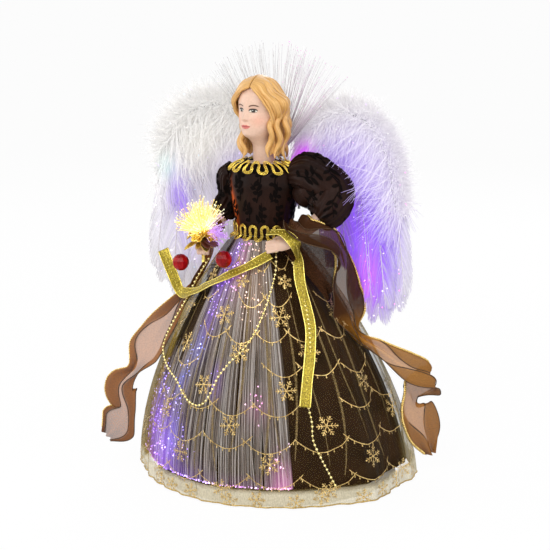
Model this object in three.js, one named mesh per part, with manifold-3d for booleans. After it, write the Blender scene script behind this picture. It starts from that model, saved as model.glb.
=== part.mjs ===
// Angel tree topper: a dressed doll on a hollow bell that slips over a treetop, with feather wings on
// pivoting wire frames and fibre-optic sprays lit from one lamp. Millimetres, +Z up, facing -Y.
import * as THREE from "three";
import { mergeVertices } from "three/addons/utils/BufferGeometryUtils.js";
import Module from "manifold-3d";

const wasm = await Module();
wasm.setup();

// Driving dimensions: the bell, its cloths and the folds
const WAIST_Z = 171; // top edge of the skirts above the surface that the bell stands on
const TORSO_Y = -18; // the waist stands forward of the hem's centre
const FORM_WAIST_RADIUS = 16;
const FORM_HEM_RADIUS = 84;
const FORM_WALL = 1.6;
const BELL_POWER = 1.75; // how soon the bell flares below the waist
const BELL_LEVELS = [0, 0.12, 0.32, 0.62, 0.93, 1]; // from the waist to the rim
const CLOTH_SIDES = 40;
const FOLD_COUNT = 10;
const FOLD_DEPTH = 5; // at the rim
const CLOTH = 0.8;
const SEAT_GAP = 0.3; // between pieces that touch
const FIBRE_SPACE = 2.6; // between the skirt and the sheer overskirt
const SKIRT_HEM_Z = 11;
const OVERSKIRT_HEM_Z = 1;

// Driving dimensions: the inner works
const SOCKET_BORE_RADIUS = 13.5;
const SOCKET_WALL = 1.5;
const SOCKET_FLARE = 3;
const SOCKET_FLANGE_RADIUS = 22;
const SOCKET_MOUTH_Z = 20;
const BULKHEAD_Z = 118;
const BULKHEAD_THICKNESS = 3;
const LAMP_RADIUS = 16;
const LAMP_HEIGHT = 29;
const LAMP_WALL = 1.5;
const FERRULE_PLATE = 2.7;
const TRUNK_RADIUS = 5.2;
const TRUNK_RISE = 34; // above the waist
const CELL_RADIUS = 7.25;
const CELL_LENGTH = 50.5;
const CELL_COUNT = 3;
const BOX_WALL = 1.5;
const BOX_FRONT_WALL = 2.5;
const BOX_FLOOR_Z = 24;
const BOX_STANDOFF = 9; // from the socket tube to the box
const DOOR_THICKNESS = 2;
const DOOR_BARREL_RADIUS = 1.7;
const DOOR_PIN_RADIUS = 0.8;
const SWITCH_TRAVEL = 3;
const LEAD_RADIUS = 1.2;

// Driving dimensions: the figure
const BODICE_CLOTH = 1;
const TORSO_HEIGHT = 48;
const TORSO_HALF_WIDTH = 24.6; // at the chest
const TORSO_HALF_DEPTH = 18;
const BRAID_HEIGHT = 10.5;
const BRAID_THICKNESS = 1.6;
const BRAID_SCALLOP = 1.1;
const WAIST_SCALLOPS = 14;
const NECK_RADIUS = 7.6;
const HEAD_Y = -24;
const HEAD_WIDTH = 27.6;
const HEAD_HEIGHT = 38;
const HEAD_DEPTH = 15; // from the middle to the back
const CHIN_RISE = 18.3; // above the torso
const HAIR_THICKNESS = 2.6;
const ARM_REACH = 31; // from the shoulder out to the left elbow
const ARM_WIRE_RADIUS = 1.1;
const FOREARM_RADIUS = 5;
const WRIST_RADIUS = 3.6;
const FINGER_RADIUS = 1.25;
const SLEEVE_RADIUS = 14;
const RIGHT_SLEEVE_RADIUS = 8.8; // the right arm hangs close to the body

// Driving dimensions: the wings
const HINGE_X = 9;
const HINGE_Y = 14;
const WING_SWEEP = THREE.MathUtils.degToRad(12); // the tips come forward of the pins
const WING_SPAN = 86; // from the pin to the far end of the frame
const WING_WIRE_RADIUS = 1;
const PIN_RISE = 12; // above the torso's floor
const PIN_LENGTH = 32;
const KNUCKLE_RADIUS = 3;
const KNUCKLE_HEIGHT = 12;
const FEATHER_THICKNESS = 1;
const FLUFF_RADIUS = 17;
const FLUFF_DEPTH = 9;

// Driving dimensions: trimmings
const RIBBON_WIDTH = 7;
const RIBBON_THICKNESS = 0.8;
const BEAD_RADIUS = 1.5;
const BEAD_PITCH = 5;
const STRING_RADIUS = 0.55;
const STOLE_WIDTH = 38;
const STOLE_THICKNESS = 0.8;
const BERRY_RADIUS = 5.8;
const STEM_RADIUS = 1.5;
const CUP_RADIUS = 6;
const LEAF_LENGTH = 13;
const SPRAY_REACH = 25;
const HALO_REACH = 76;
const HALO_CLIP = 6; // half its width, and its height
const STRAND_RADIUS = 0.42;
const SKIRT_STRANDS = 60;
const HALO_STRANDS = 104;
const BOUQUET_STRANDS = 110;
const PANEL_HALF_ANGLE = 38; // degrees each side of the front

const FRONT = -Math.PI / 2;
const degrees = THREE.MathUtils.degToRad;
const lerp = THREE.MathUtils.lerp;
const V = (x, y, z) => new THREE.Vector3(x, y, z);

const finish = (color, roughness, metalness = 0, more = {}) =>
  new THREE.MeshStandardMaterial({ color, roughness, metalness, ...more });
const MATERIALS = {
  form: finish(0xe6e2d8, 0.6),
  moulding: finish(0xd9d6cc, 0.5),
  board: finish(0x2f6b3c, 0.5),
  cell: finish(0x3a3d42, 0.4),
  steel: finish(0xb9bcc0, 0.3, 1),
  lead: finish(0x22221f, 0.5),
  brown: finish(0x2a1610, 0.65),
  flock: finish(0x24120d, 0.8),
  sheer: finish(0xb59a5e, 0.5, 0.1, { transparent: true, opacity: 0.45 }),
  organza: finish(0x8a5a36, 0.45, 0.1, { transparent: true, opacity: 0.75 }),
  skin: finish(0xe2bda6, 0.45),
  hair: finish(0xd9943f, 0.5),
  gold: finish(0xc9a227, 0.3, 0.9),
  goldRibbon: finish(0xbf9f1c, 0.4, 0.7),
  fibre: finish(0xb7a7d8, 0.25, 0, { transparent: true, opacity: 0.6 }),
  glowFibre: finish(0xfff2b0, 0.3, 0, { emissive: 0xffd966, emissiveIntensity: 0.6 }),
  feather: finish(0xeceaf2, 0.8),
  fluff: finish(0xf6f4f6, 0.95),
  berry: finish(0xa30d14, 0.15),
};

// Geometry helpers

// A closed mesh from points and triangles, with its faces turned outwards.
function closed(points, triangles) {
  const normal = V(0, 0, 0);
  let volume = 0;
  for (const [a, b, c] of triangles)
    volume += points[a].dot(normal.crossVectors(points[b], points[c]));
  const faces = volume < 0 ? triangles.map(([a, b, c]) => [a, c, b]) : triangles;
  return new THREE.BufferGeometry().setFromPoints(points).setIndex(faces.flat());
}

// A ring's points laid out in its own plane.
function flattened(ring) {
  const centre = ring.reduce((sum, p) => sum.add(p), V(0, 0, 0)).divideScalar(ring.length);
  const across = ring[0].clone().sub(centre).normalize();
  const normal = V(0, 0, 0);
  ring.forEach((p, i) => {
    const next = ring[(i + 1) % ring.length];
    normal.add(p.clone().sub(centre).cross(next.clone().sub(centre)));
  });
  const up = normal.normalize().cross(across);
  return ring.map((p) => {
    const offset = p.clone().sub(centre);
    return new THREE.Vector2(offset.dot(across), offset.dot(up));
  });
}

// Rings of equally many points joined into a solid: capped at both ends, or closed on itself like a tyre.
// A mirrored side is split along its other diagonal, so that the two faces of a thin band match.
function loft(rings, isLoop = false, mirroredSide = -1) {
  const sides = rings[0].length;
  const points = rings.flat();
  const triangles = [];
  const bands = isLoop ? rings.length : rings.length - 1;
  for (let band = 0; band < bands; band++) {
    const low = band * sides;
    const high = ((band + 1) % rings.length) * sides;
    for (let side = 0; side < sides; side++) {
      const next = (side + 1) % sides;
      const [a, b, c, d] = [low + side, low + next, high + next, high + side];
      if (side === mirroredSide) triangles.push([a, b, d], [b, c, d]);
      else triangles.push([a, b, c], [a, c, d]);
    }
  }
  if (!isLoop)
    for (const [ring, start] of [
      [rings[0], 0],
      [rings.at(-1), (rings.length - 1) * sides],
    ])
      for (const [a, b, c] of THREE.ShapeUtils.triangulateShape(flattened(ring), []))
        triangles.push([a, start === 0 ? c : b, start === 0 ? b : c].map((corner) => corner + start));
  return closed(points, triangles);
}

// A geometry as a solid for joining and cutting, and back again.
function solid(geometry) {
  const bare = new THREE.BufferGeometry().setAttribute("position", geometry.getAttribute("position"));
  if (geometry.index) bare.setIndex(geometry.index);
  const merged = mergeVertices(bare, 1e-4);
  const corners = merged.index.array;
  const kept = [];
  for (let i = 0; i < corners.length; i += 3) {
    const [a, b, c] = corners.slice(i, i + 3);
    if (a !== b && b !== c && c !== a) kept.push(a, b, c);
  }
  const vertProperties = merged.attributes.position.array;
  return new wasm.Manifold(new wasm.Mesh({ numProp: 3, vertProperties, triVerts: new Uint32Array(kept) }));
}

function geometryOf(body) {
  const mesh = body.getMesh();
  return new THREE.BufferGeometry()
    .setAttribute("position", new THREE.BufferAttribute(mesh.vertProperties, 3))
    .setIndex(new THREE.BufferAttribute(mesh.triVerts, 1));
}

const join = (...geometries) => geometryOf(geometries.map(solid).reduce((sum, body) => sum.add(body)));
const cut = (geometry, ...tools) =>
  geometryOf(tools.map(solid).reduce((body, tool) => body.subtract(tool), solid(geometry)));

function place(parent, name, geometry, material) {
  const mesh = new THREE.Mesh(geometryOf(solid(geometry).simplify(0.04)), material);
  mesh.name = name;
  parent.add(mesh);
}

const box = (low, high) =>
  new THREE.BoxGeometry(high.x - low.x, high.y - low.y, high.z - low.z).translate(
    (low.x + high.x) / 2,
    (low.y + high.y) / 2,
    (low.z + high.z) / 2,
  );

// A round bar between two points, tapered where the radii differ.
function rod(from, to, radius, sides = 12, endRadius = radius) {
  const along = to.clone().sub(from);
  const turn = new THREE.Quaternion().setFromUnitVectors(V(0, 1, 0), along.clone().normalize());
  return new THREE.CylinderGeometry(endRadius, radius, along.length(), sides)
    .applyQuaternion(turn)
    .translate(...from.clone().add(to).divideScalar(2).toArray());
}

// A turned piece about a vertical axis; the profile holds [radius, z] pairs.
const turned = (profile, sides = 16) =>
  new THREE.LatheGeometry(
    profile.map(([radius, z]) => new THREE.Vector2(radius, z)),
    sides,
  ).rotateX(Math.PI / 2);

const polygon = (radius, sides) =>
  new THREE.Shape(
    Array.from({ length: sides }, (_, i) => {
      const angle = (i / sides) * 2 * Math.PI;
      return new THREE.Vector2(radius * Math.cos(angle), radius * Math.sin(angle));
    }),
  );

// A wire or lead of constant radius along a smooth curve through the points.
const tube = (points, radius, steps, sides = 8) =>
  new THREE.ExtrudeGeometry(polygon(radius, sides), {
    steps,
    bevelEnabled: false,
    extrudePath: new THREE.CatmullRomCurve3(points, false, "centripetal"),
  });

// Round rings of their own radii set square to a route, for limbs, sleeves and locks of hair.
function limb(points, radii, sides = 12, ripple = () => 0) {
  const curve = new THREE.CatmullRomCurve3(points, false, "centripetal");
  const frames = curve.computeFrenetFrames(radii.length - 1);
  return loft(
    radii.map((radius, i) => {
      const at = curve.getPointAt(i / (radii.length - 1));
      return Array.from({ length: sides }, (_, side) => {
        const angle = (side / sides) * 2 * Math.PI;
        const reach = radius + ripple(angle, i / (radii.length - 1));
        return at
          .clone()
          .addScaledVector(frames.normals[i], reach * Math.cos(angle))
          .addScaledVector(frames.binormals[i], reach * Math.sin(angle));
      });
    }),
  );
}

// A flat band through the points, lying square to the normals, with a width at each point.
function band(points, normals, widths, thickness) {
  return loft(
    points.map((point, i) => {
      const before = points[Math.max(0, i - 1)];
      const after = points[Math.min(points.length - 1, i + 1)];
      const along = after.clone().sub(before).normalize();
      const out = normals[i].clone().addScaledVector(along, -normals[i].dot(along)).normalize();
      const across = along.clone().cross(out);
      return [
        [1, 1],
        [-1, 1],
        [-1, -1],
        [1, -1],
      ].map(([side, face]) =>
        point
          .clone()
          .addScaledVector(across, (side * widths[i]) / 2)
          .addScaledVector(out, (face * thickness) / 2),
      );
    }),
    false,
    2,
  );
}

// A row of a table of levels, at a share between two of its rows.
function levelBetween(levels, share) {
  const found = levels.findIndex(([level], i) => i > 0 && share <= level);
  const [low, high] = [levels[found - 1], levels[found]];
  const part = (share - low[0]) / (high[0] - low[0]);
  return low.map((value, i) => lerp(value, high[i], part));
}

// A smooth route through the points, with a few steps from each to the next.
const through = (points, steps) =>
  new THREE.CatmullRomCurve3(points, false, "centripetal").getPoints((points.length - 1) * steps);

// Bell surfaces: the form and the cloths share one faceted bell, so that they nest

function bellShare(level) {
  const smooth = (t) => 1 - (1 - t) ** BELL_POWER;
  const top = BELL_LEVELS.findIndex((_, i) => level <= BELL_LEVELS[i + 1]);
  const [low, high] = [BELL_LEVELS[top], BELL_LEVELS[top + 1]];
  return lerp(smooth(low), smooth(high), (level - low) / (high - low));
}

const levelAt = (z) => 1 - z / WAIST_Z;
const bellCentreY = (level) => TORSO_Y * (1 - level);

// The front panel hangs nearly smooth; folds deepen towards the sides and the back.
function fold(angle) {
  const fromFront = Math.abs(Math.atan2(Math.sin(angle - FRONT), Math.cos(angle - FRONT)));
  const [start, end] = [degrees(PANEL_HALF_ANGLE - 8), degrees(PANEL_HALF_ANGLE + 30)];
  const calm = THREE.MathUtils.smoothstep(fromFront, start, end);
  return (0.12 + 0.88 * calm) * (0.5 - 0.5 * Math.cos(FOLD_COUNT * angle));
}

function bellCorner(offset, foldDepth, side, sides, level) {
  const angle = (side / sides) * 2 * Math.PI;
  const radius =
    lerp(FORM_WAIST_RADIUS, FORM_HEM_RADIUS, bellShare(level)) + offset + foldDepth * level * fold(angle);
  return V(radius * Math.cos(angle), bellCentreY(level) + radius * Math.sin(angle), WAIST_Z * (1 - level));
}

const SKIRT_INSIDE = SEAT_GAP;
const SKIRT_OUTSIDE = SKIRT_INSIDE + CLOTH;
const OVERSKIRT_INSIDE = SKIRT_OUTSIDE + FIBRE_SPACE;
const OVERSKIRT_OUTSIDE = OVERSKIRT_INSIDE + CLOTH;

// A point on the faceted cloth at an angle in degrees and a level, lifted square off the surface.
function onCloth(offset, angle, level, lift = 0) {
  const at = (turn, t) => {
    const place = (((degrees(turn) / (2 * Math.PI)) % 1) + 1) % 1;
    const side = Math.floor(place * CLOTH_SIDES);
    const low = bellCorner(offset, FOLD_DEPTH, side, CLOTH_SIDES, t);
    return low.lerp(bellCorner(offset, FOLD_DEPTH, side + 1, CLOTH_SIDES, t), place * CLOTH_SIDES - side);
  };
  const around = at(angle + 1, level).sub(at(angle - 1, level));
  const down = at(angle, Math.min(1, level + 0.02)).sub(at(angle, Math.max(0, level - 0.02)));
  const normal = down.cross(around).normalize();
  return { point: at(angle, level).addScaledVector(normal, lift), normal };
}

// A bell of cloth or board between two offsets, from the waist to a hem height.
function bellShell(inside, outside, foldDepth, sides, hemZ) {
  const levels = [...BELL_LEVELS.filter((level) => level < levelAt(hemZ) - 0.01), levelAt(hemZ)];
  const rings = (offset) =>
    levels.map((level) =>
      Array.from({ length: sides }, (_, side) => bellCorner(offset, foldDepth, side, sides, level)),
    );
  return loft([...rings(outside), ...rings(inside).reverse()], true);
}

const topper = new THREE.Group();

// Bell, skirts and the fibre panel between them

const FORM_SIDES = CLOTH_SIDES / 2;
place(topper, "skirt_form", bellShell(-FORM_WALL, 0, 0, FORM_SIDES, 0), MATERIALS.form);
place(
  topper,
  "skirt",
  bellShell(SKIRT_INSIDE, SKIRT_OUTSIDE, FOLD_DEPTH, CLOTH_SIDES, SKIRT_HEM_Z),
  MATERIALS.brown,
);
place(
  topper,
  "overskirt",
  bellShell(OVERSKIRT_INSIDE, OVERSKIRT_OUTSIDE, FOLD_DEPTH, CLOTH_SIDES, OVERSKIRT_HEM_Z),
  MATERIALS.sheer,
);

// A three-sided strand that widens along its points; its rings all turn from the axis it runs along least.
function strand(points, rootRadius, tipRadius) {
  const chord = points.at(-1).clone().sub(points[0]);
  const share = (axis) => Math.abs(axis.dot(chord));
  const [aside] = [V(1, 0, 0), V(0, 1, 0), V(0, 0, 1)].sort((a, b) => share(a) - share(b));
  const rings = points.map((point, i) => {
    const before = points[Math.max(0, i - 1)];
    const after = points[Math.min(points.length - 1, i + 1)];
    const along = after.clone().sub(before).normalize();
    const across = along.clone().cross(aside).normalize();
    const up = along.clone().cross(across);
    const radius = lerp(rootRadius, tipRadius, i / (points.length - 1));
    return [0, 1, 2].map((corner) => {
      const angle = (corner / 3) * 2 * Math.PI;
      return point
        .clone()
        .addScaledVector(across, radius * Math.cos(angle))
        .addScaledVector(up, radius * Math.sin(angle));
    });
  });
  return loft(rings);
}

// Strands joined at their roots by a slice of the clip that holds them.
function spray(clip, strands) {
  const bodies = strands.map(solid);
  return geometryOf(wasm.Manifold.union([solid(clip), ...bodies]));
}

const CLIP_LEVELS = [0.012, 0.045];
const CLIP_THICKNESS = 1.3;
const panelAngle = (share) => -90 + (2 * share - 1) * PANEL_HALF_ANGLE;

function skirtFibres() {
  const middle = (SKIRT_OUTSIDE + OVERSKIRT_INSIDE) / 2;
  const clipSteps = 12;
  const clip = loft(
    Array.from({ length: clipSteps + 1 }, (_, i) => {
      const angle = panelAngle(i / clipSteps);
      const [top, bottom] = CLIP_LEVELS;
      const corner = (level, face) => onCloth(middle, angle, level, (face * CLIP_THICKNESS) / 2).point;
      return [corner(top, 1), corner(bottom, 1), corner(bottom, -1), corner(top, -1)];
    }),
  );
  const hemLevel = levelAt(SKIRT_HEM_Z + 3);
  const between = BELL_LEVELS.filter((level) => level > CLIP_LEVELS[1] && level < hemLevel);
  const levels = [(CLIP_LEVELS[0] + CLIP_LEVELS[1]) / 2, ...between, hemLevel];
  const strands = Array.from({ length: SKIRT_STRANDS }, (_, i) => {
    const angle = panelAngle((i + 0.5) / SKIRT_STRANDS);
    const layer = i % 2 ? 0.5 : -0.5;
    return strand(
      levels.map((level) => onCloth(middle, angle, level, layer * Math.min(1, level * 4)).point),
      0.45 * STRAND_RADIUS,
      STRAND_RADIUS,
    );
  });
  return spray(clip, strands);
}
place(topper, "skirt_fibres", skirtFibres(), MATERIALS.fibre);

// Inner works: bulkhead, tree socket, lamp, ferrule and fibre trunk

const formInsideAt = (z) =>
  lerp(FORM_WAIST_RADIUS, FORM_HEM_RADIUS, bellShare(levelAt(z))) - FORM_WALL;
const BULKHEAD_TOP_Z = BULKHEAD_Z + BULKHEAD_THICKNESS;
const LAMP_FLOOR_Z = BULKHEAD_TOP_Z + SEAT_GAP;
const LAMP_TOP_Z = LAMP_FLOOR_Z + LAMP_HEIGHT;
const SOCKET_RADIUS = SOCKET_BORE_RADIUS + SOCKET_WALL;
const BOX_LOW_Y = SOCKET_RADIUS + BOX_STANDOFF;
const BOX_DEPTH = BOX_FRONT_WALL + 2 * CELL_RADIUS + 1.5 + BOX_WALL;
const BOX_HALF_WIDTH = CELL_COUNT * (CELL_RADIUS + 0.3) + BOX_WALL;
const CELL_FLOOR_Z = BOX_FLOOR_Z + 1;
const BOX_TOP_Z = CELL_FLOOR_Z + CELL_LENGTH + 1 + BOX_WALL;
const CELL_Y = BOX_LOW_Y + BOX_FRONT_WALL + CELL_RADIUS + 0.75;
const LEAD_X = 10;

const LEAD_POINTS = [
  V(LEAD_X, CELL_Y, BOX_TOP_Z + SEAT_GAP),
  V(LEAD_X, CELL_Y - 2, BOX_TOP_Z + 12),
  V(LEAD_X, 24, BULKHEAD_Z - 8),
  V(LEAD_X, 21, BULKHEAD_TOP_Z + 4),
  V(LEAD_X / 2, 9, LAMP_FLOOR_Z + 12),
  V(0, TORSO_Y + LAMP_RADIUS + 5, LAMP_FLOOR_Z + 14),
  V(0, TORSO_Y + LAMP_RADIUS + SEAT_GAP, LAMP_FLOOR_Z + 14),
];

function bulkhead() {
  const radius = formInsideAt(BULKHEAD_TOP_Z) - 0.5;
  const disc = new THREE.CylinderGeometry(radius, radius, BULKHEAD_THICKNESS, FORM_SIDES)
    .rotateX(Math.PI / 2)
    .rotateZ(Math.PI / 2)
    .translate(0, bellCentreY(levelAt(BULKHEAD_TOP_Z)), BULKHEAD_Z + BULKHEAD_THICKNESS / 2);
  return cut(disc, tube(LEAD_POINTS, LEAD_RADIUS + 0.6, 16));
}
place(topper, "bulkhead", bulkhead(), MATERIALS.moulding);

function treeSocket() {
  const top = BULKHEAD_Z - SEAT_GAP;
  const profile = [
    [SOCKET_BORE_RADIUS, top],
    [SOCKET_BORE_RADIUS, SOCKET_MOUTH_Z + 6],
    [SOCKET_BORE_RADIUS + SOCKET_FLARE, SOCKET_MOUTH_Z],
    [SOCKET_RADIUS + SOCKET_FLARE, SOCKET_MOUTH_Z],
    [SOCKET_RADIUS, SOCKET_MOUTH_Z + 6],
    [SOCKET_RADIUS, top - 3],
    [SOCKET_FLANGE_RADIUS, top - 3],
    [SOCKET_FLANGE_RADIUS, top],
    [SOCKET_BORE_RADIUS, top],
  ];
  const tubeWall = turned(profile, 20);
  const padTop = BOX_TOP_Z - 4;
  const padFloor = BOX_FLOOR_Z + 26;
  const padFace = BOX_LOW_Y - SEAT_GAP;
  const web = box(V(-1.5, SOCKET_RADIUS - 1, padFloor), V(1.5, padFace - 1, padTop));
  const pad = box(V(-12, padFace - 2.4, padFloor), V(12, padFace, padTop));
  return join(tubeWall, web, pad);
}
place(topper, "tree_socket", treeSocket(), MATERIALS.moulding);

const lampStack = new THREE.Group();
lampStack.position.set(0, TORSO_Y, 0);
topper.add(lampStack);

const BOARD_Z = LAMP_FLOOR_Z + 5;
place(
  lampStack,
  "lamp_housing",
  turned([
    [0, LAMP_FLOOR_Z],
    [LAMP_RADIUS, LAMP_FLOOR_Z],
    [LAMP_RADIUS, LAMP_TOP_Z],
    [LAMP_RADIUS - LAMP_WALL, LAMP_TOP_Z],
    [LAMP_RADIUS - LAMP_WALL, BOARD_Z - SEAT_GAP],
    [LAMP_RADIUS - LAMP_WALL - 2, BOARD_Z - SEAT_GAP],
    [LAMP_RADIUS - LAMP_WALL - 2, LAMP_FLOOR_Z + LAMP_WALL],
    [0, LAMP_FLOOR_Z + LAMP_WALL],
  ]),
  MATERIALS.moulding,
);
const BOARD_TOP_Z = BOARD_Z + 1.6;
place(
  lampStack,
  "lamp_board",
  turned([
    [0, BOARD_Z],
    [LAMP_RADIUS - LAMP_WALL - SEAT_GAP, BOARD_Z],
    [LAMP_RADIUS - LAMP_WALL - SEAT_GAP, BOARD_TOP_Z],
    [4, BOARD_TOP_Z],
    [4, BOARD_TOP_Z + 3],
    [2.8, BOARD_TOP_Z + 5.2],
    [0, BOARD_TOP_Z + 6],
  ]),
  MATERIALS.board,
);

const FERRULE_Z = LAMP_TOP_Z + SEAT_GAP;
const FERRULE_BORE = TRUNK_RADIUS + SEAT_GAP;
place(
  lampStack,
  "fibre_ferrule",
  turned([
    [FERRULE_BORE, FERRULE_Z],
    [LAMP_RADIUS, FERRULE_Z],
    [LAMP_RADIUS, FERRULE_Z + FERRULE_PLATE],
    [FERRULE_BORE + 1.6, FERRULE_Z + FERRULE_PLATE],
    [FERRULE_BORE + 1.6, FERRULE_Z + FERRULE_PLATE + 8],
    [FERRULE_BORE, FERRULE_Z + FERRULE_PLATE + 8],
    [FERRULE_BORE, FERRULE_Z],
  ]),
  MATERIALS.moulding,
);
place(
  lampStack,
  "fibre_trunk",
  turned(
    [
      [0, FERRULE_Z - 6],
      [TRUNK_RADIUS, FERRULE_Z - 6],
      [TRUNK_RADIUS, WAIST_Z + TRUNK_RISE - 3],
      [TRUNK_RADIUS - 2, WAIST_Z + TRUNK_RISE],
      [0, WAIST_Z + TRUNK_RISE],
    ],
    14,
  ),
  MATERIALS.fibre,
);

// Battery box with its cells, hinged door and switch

const HINGE_LINE_Y = BOX_LOW_Y + BOX_DEPTH + DOOR_BARREL_RADIUS;
const HINGE_LINE_Z = BOX_FLOOR_Z - SEAT_GAP - DOOR_THICKNESS / 2;
const BARREL_HALF = BOX_HALF_WIDTH - 8;
const DOOR_BORE = DOOR_PIN_RADIUS + SEAT_GAP;
const SWITCH_Z = BOX_FLOOR_Z + 14;
const SWITCH_HALF = V(2.7, 0.8, 2);

// A bar on the door's hinge line, between two places along it.
const onHingeLine = (from, to, radius, sides) =>
  rod(V(from, HINGE_LINE_Y, HINGE_LINE_Z), V(to, HINGE_LINE_Y, HINGE_LINE_Z), radius, sides);

function batteryBox() {
  const shell = box(
    V(-BOX_HALF_WIDTH, BOX_LOW_Y, BOX_FLOOR_Z),
    V(BOX_HALF_WIDTH, BOX_LOW_Y + BOX_DEPTH, BOX_TOP_Z),
  );
  const cavity = box(
    V(-BOX_HALF_WIDTH + BOX_WALL, BOX_LOW_Y + BOX_FRONT_WALL, BOX_FLOOR_Z - 1),
    V(BOX_HALF_WIDTH - BOX_WALL, BOX_LOW_Y + BOX_DEPTH - BOX_WALL, BOX_TOP_Z - BOX_WALL),
  );
  const slot = box(
    V(-SWITCH_HALF.x - SEAT_GAP, BOX_LOW_Y - 1, SWITCH_Z - SWITCH_HALF.z - SEAT_GAP),
    V(SWITCH_HALF.x + SWITCH_TRAVEL + SEAT_GAP, BOX_LOW_Y + 1.4, SWITCH_Z + SWITCH_HALF.z + SEAT_GAP),
  );
  const lugs = [-1, 1].map((side) => {
    const inner = side * (BARREL_HALF + SEAT_GAP);
    const outer = side * (BARREL_HALF + 3);
    const eye = onHingeLine(inner, outer, DOOR_BARREL_RADIUS, 10);
    const arm = box(
      V(Math.min(inner, outer), BOX_LOW_Y + BOX_DEPTH - 1, HINGE_LINE_Z),
      V(Math.max(inner, outer), HINGE_LINE_Y + DOOR_BARREL_RADIUS * 0.8, BOX_FLOOR_Z + 5),
    );
    const underBox = box(V(-99, 0, HINGE_LINE_Z - 1), V(99, BOX_LOW_Y + BOX_DEPTH + 0.1, BOX_FLOOR_Z));
    return join(eye, cut(arm, underBox));
  });
  const pinHole = onHingeLine(-99, 99, DOOR_BORE, 8);
  return cut(join(shell, ...lugs), cavity, slot, pinHole);
}
place(topper, "battery_box", batteryBox(), MATERIALS.moulding);

function batteryDoor() {
  const top = BOX_FLOOR_Z - SEAT_GAP;
  const flap = box(
    V(-BOX_HALF_WIDTH, BOX_LOW_Y, top - DOOR_THICKNESS),
    V(BOX_HALF_WIDTH, BOX_LOW_Y + BOX_DEPTH - 0.5, top),
  );
  const leaf = box(
    V(-BARREL_HALF, BOX_LOW_Y + BOX_DEPTH - 2, top - DOOR_THICKNESS),
    V(BARREL_HALF, HINGE_LINE_Y, top),
  );
  const barrel = onHingeLine(-BARREL_HALF, BARREL_HALF, DOOR_BARREL_RADIUS, 10);
  const pull = box(V(-6, BOX_LOW_Y - 1.6, top - DOOR_THICKNESS), V(6, BOX_LOW_Y + 1, top - 0.4));
  const pinHole = onHingeLine(-99, 99, DOOR_BORE, 8);
  return cut(join(flap, leaf, barrel, pull), pinHole);
}
place(topper, "battery_door", batteryDoor(), MATERIALS.moulding);

const PIN_END = BARREL_HALF + 3.4;
place(topper, "door_pin", onHingeLine(-PIN_END, PIN_END, DOOR_PIN_RADIUS, 8), MATERIALS.steel);

for (let cell = 0; cell < CELL_COUNT; cell++) {
  const nub = 1.5;
  const shape = turned(
    [
      [0, 0],
      [CELL_RADIUS, 0],
      [CELL_RADIUS, CELL_LENGTH - nub],
      [2.7, CELL_LENGTH - nub],
      [2.7, CELL_LENGTH],
      [0, CELL_LENGTH],
    ],
    14,
  );
  const x = (cell - (CELL_COUNT - 1) / 2) * 2 * (CELL_RADIUS + 0.3);
  place(topper, `cell_${cell + 1}`, shape.translate(x, CELL_Y, CELL_FLOOR_Z), MATERIALS.cell);
}

function switchSlider() {
  const face = BOX_LOW_Y + 1.4 - SEAT_GAP;
  const plate = box(
    V(-SWITCH_HALF.x, BOX_LOW_Y, SWITCH_Z - SWITCH_HALF.z),
    V(SWITCH_HALF.x, face, SWITCH_Z + SWITCH_HALF.z),
  );
  const knob = box(V(-1.3, BOX_LOW_Y - 2, SWITCH_Z - 1.5), V(1.3, BOX_LOW_Y + 0.5, SWITCH_Z + 1.5));
  return join(plate, knob);
}
place(topper, "switch_slider", switchSlider(), MATERIALS.lead);
place(topper, "power_lead", tube(LEAD_POINTS, LEAD_RADIUS, 13), MATERIALS.lead);

// Torso and bodice

const BODY_FLOOR_Z = WAIST_Z + SEAT_GAP;
// Shares of the torso's height, half width and half depth
const TORSO_LEVELS = [
  [0, 0.756, 0.889],
  [0.12, 0.772, 0.911],
  [0.4, 0.874, 0.978],
  [0.7, 1, 1],
  [0.87, 0.992, 0.878],
  [0.97, 0.707, 0.7],
  [1, 0.467, 0.589],
];
const TORSO_SIDES = 20;

// A point of the torso's skin, grown outwards.
function torsoPoint([share, width, depth], grow, angle) {
  return V(
    (width * TORSO_HALF_WIDTH + grow) * Math.cos(angle),
    TORSO_Y + (depth * TORSO_HALF_DEPTH + grow) * Math.sin(angle),
    BODY_FLOOR_Z + share * TORSO_HEIGHT + (share > 0.8 ? grow * 0.8 : 0),
  );
}
const TORSO_ANGLES = Array.from({ length: TORSO_SIDES }, (_, side) => (side / TORSO_SIDES) * 2 * Math.PI);
const torsoRing = (level, grow) => TORSO_ANGLES.map((angle) => torsoPoint(level, grow, angle));
const torsoSkin = (grow, levels = TORSO_LEVELS) => loft(levels.map((level) => torsoRing(level, grow)));

const SHOULDER_Z = BODY_FLOOR_Z + TORSO_HEIGHT * 0.83;
// Places along an arm, as shares of its reach out, back and up from the shoulder.
function armOf(side, shares) {
  const shoulder = V(side * (TORSO_HALF_WIDTH - 0.6), TORSO_Y, SHOULDER_Z);
  const arm = { shoulder };
  for (const [name, [out, back, up]] of Object.entries(shares))
    arm[name] = V(side * out, back, up).multiplyScalar(ARM_REACH).add(shoulder);
  return arm;
}
const LEFT_ARM = armOf(1, {
  elbow: [0.87, 0.097, -0.39],
  forearm: [0.774, -0.194, -0.777],
  wrist: [0.29, -0.774, -1.21],
  fingers: [-0.129, -0.968, -1.306],
});
const RIGHT_ARM = armOf(-1, {
  elbow: [0.16, 0.097, -0.71],
  forearm: [0.194, -0.194, -0.935],
  wrist: [0.323, -0.645, -1.484],
  fingers: [0.161, -1.032, -1.581],
});

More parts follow.
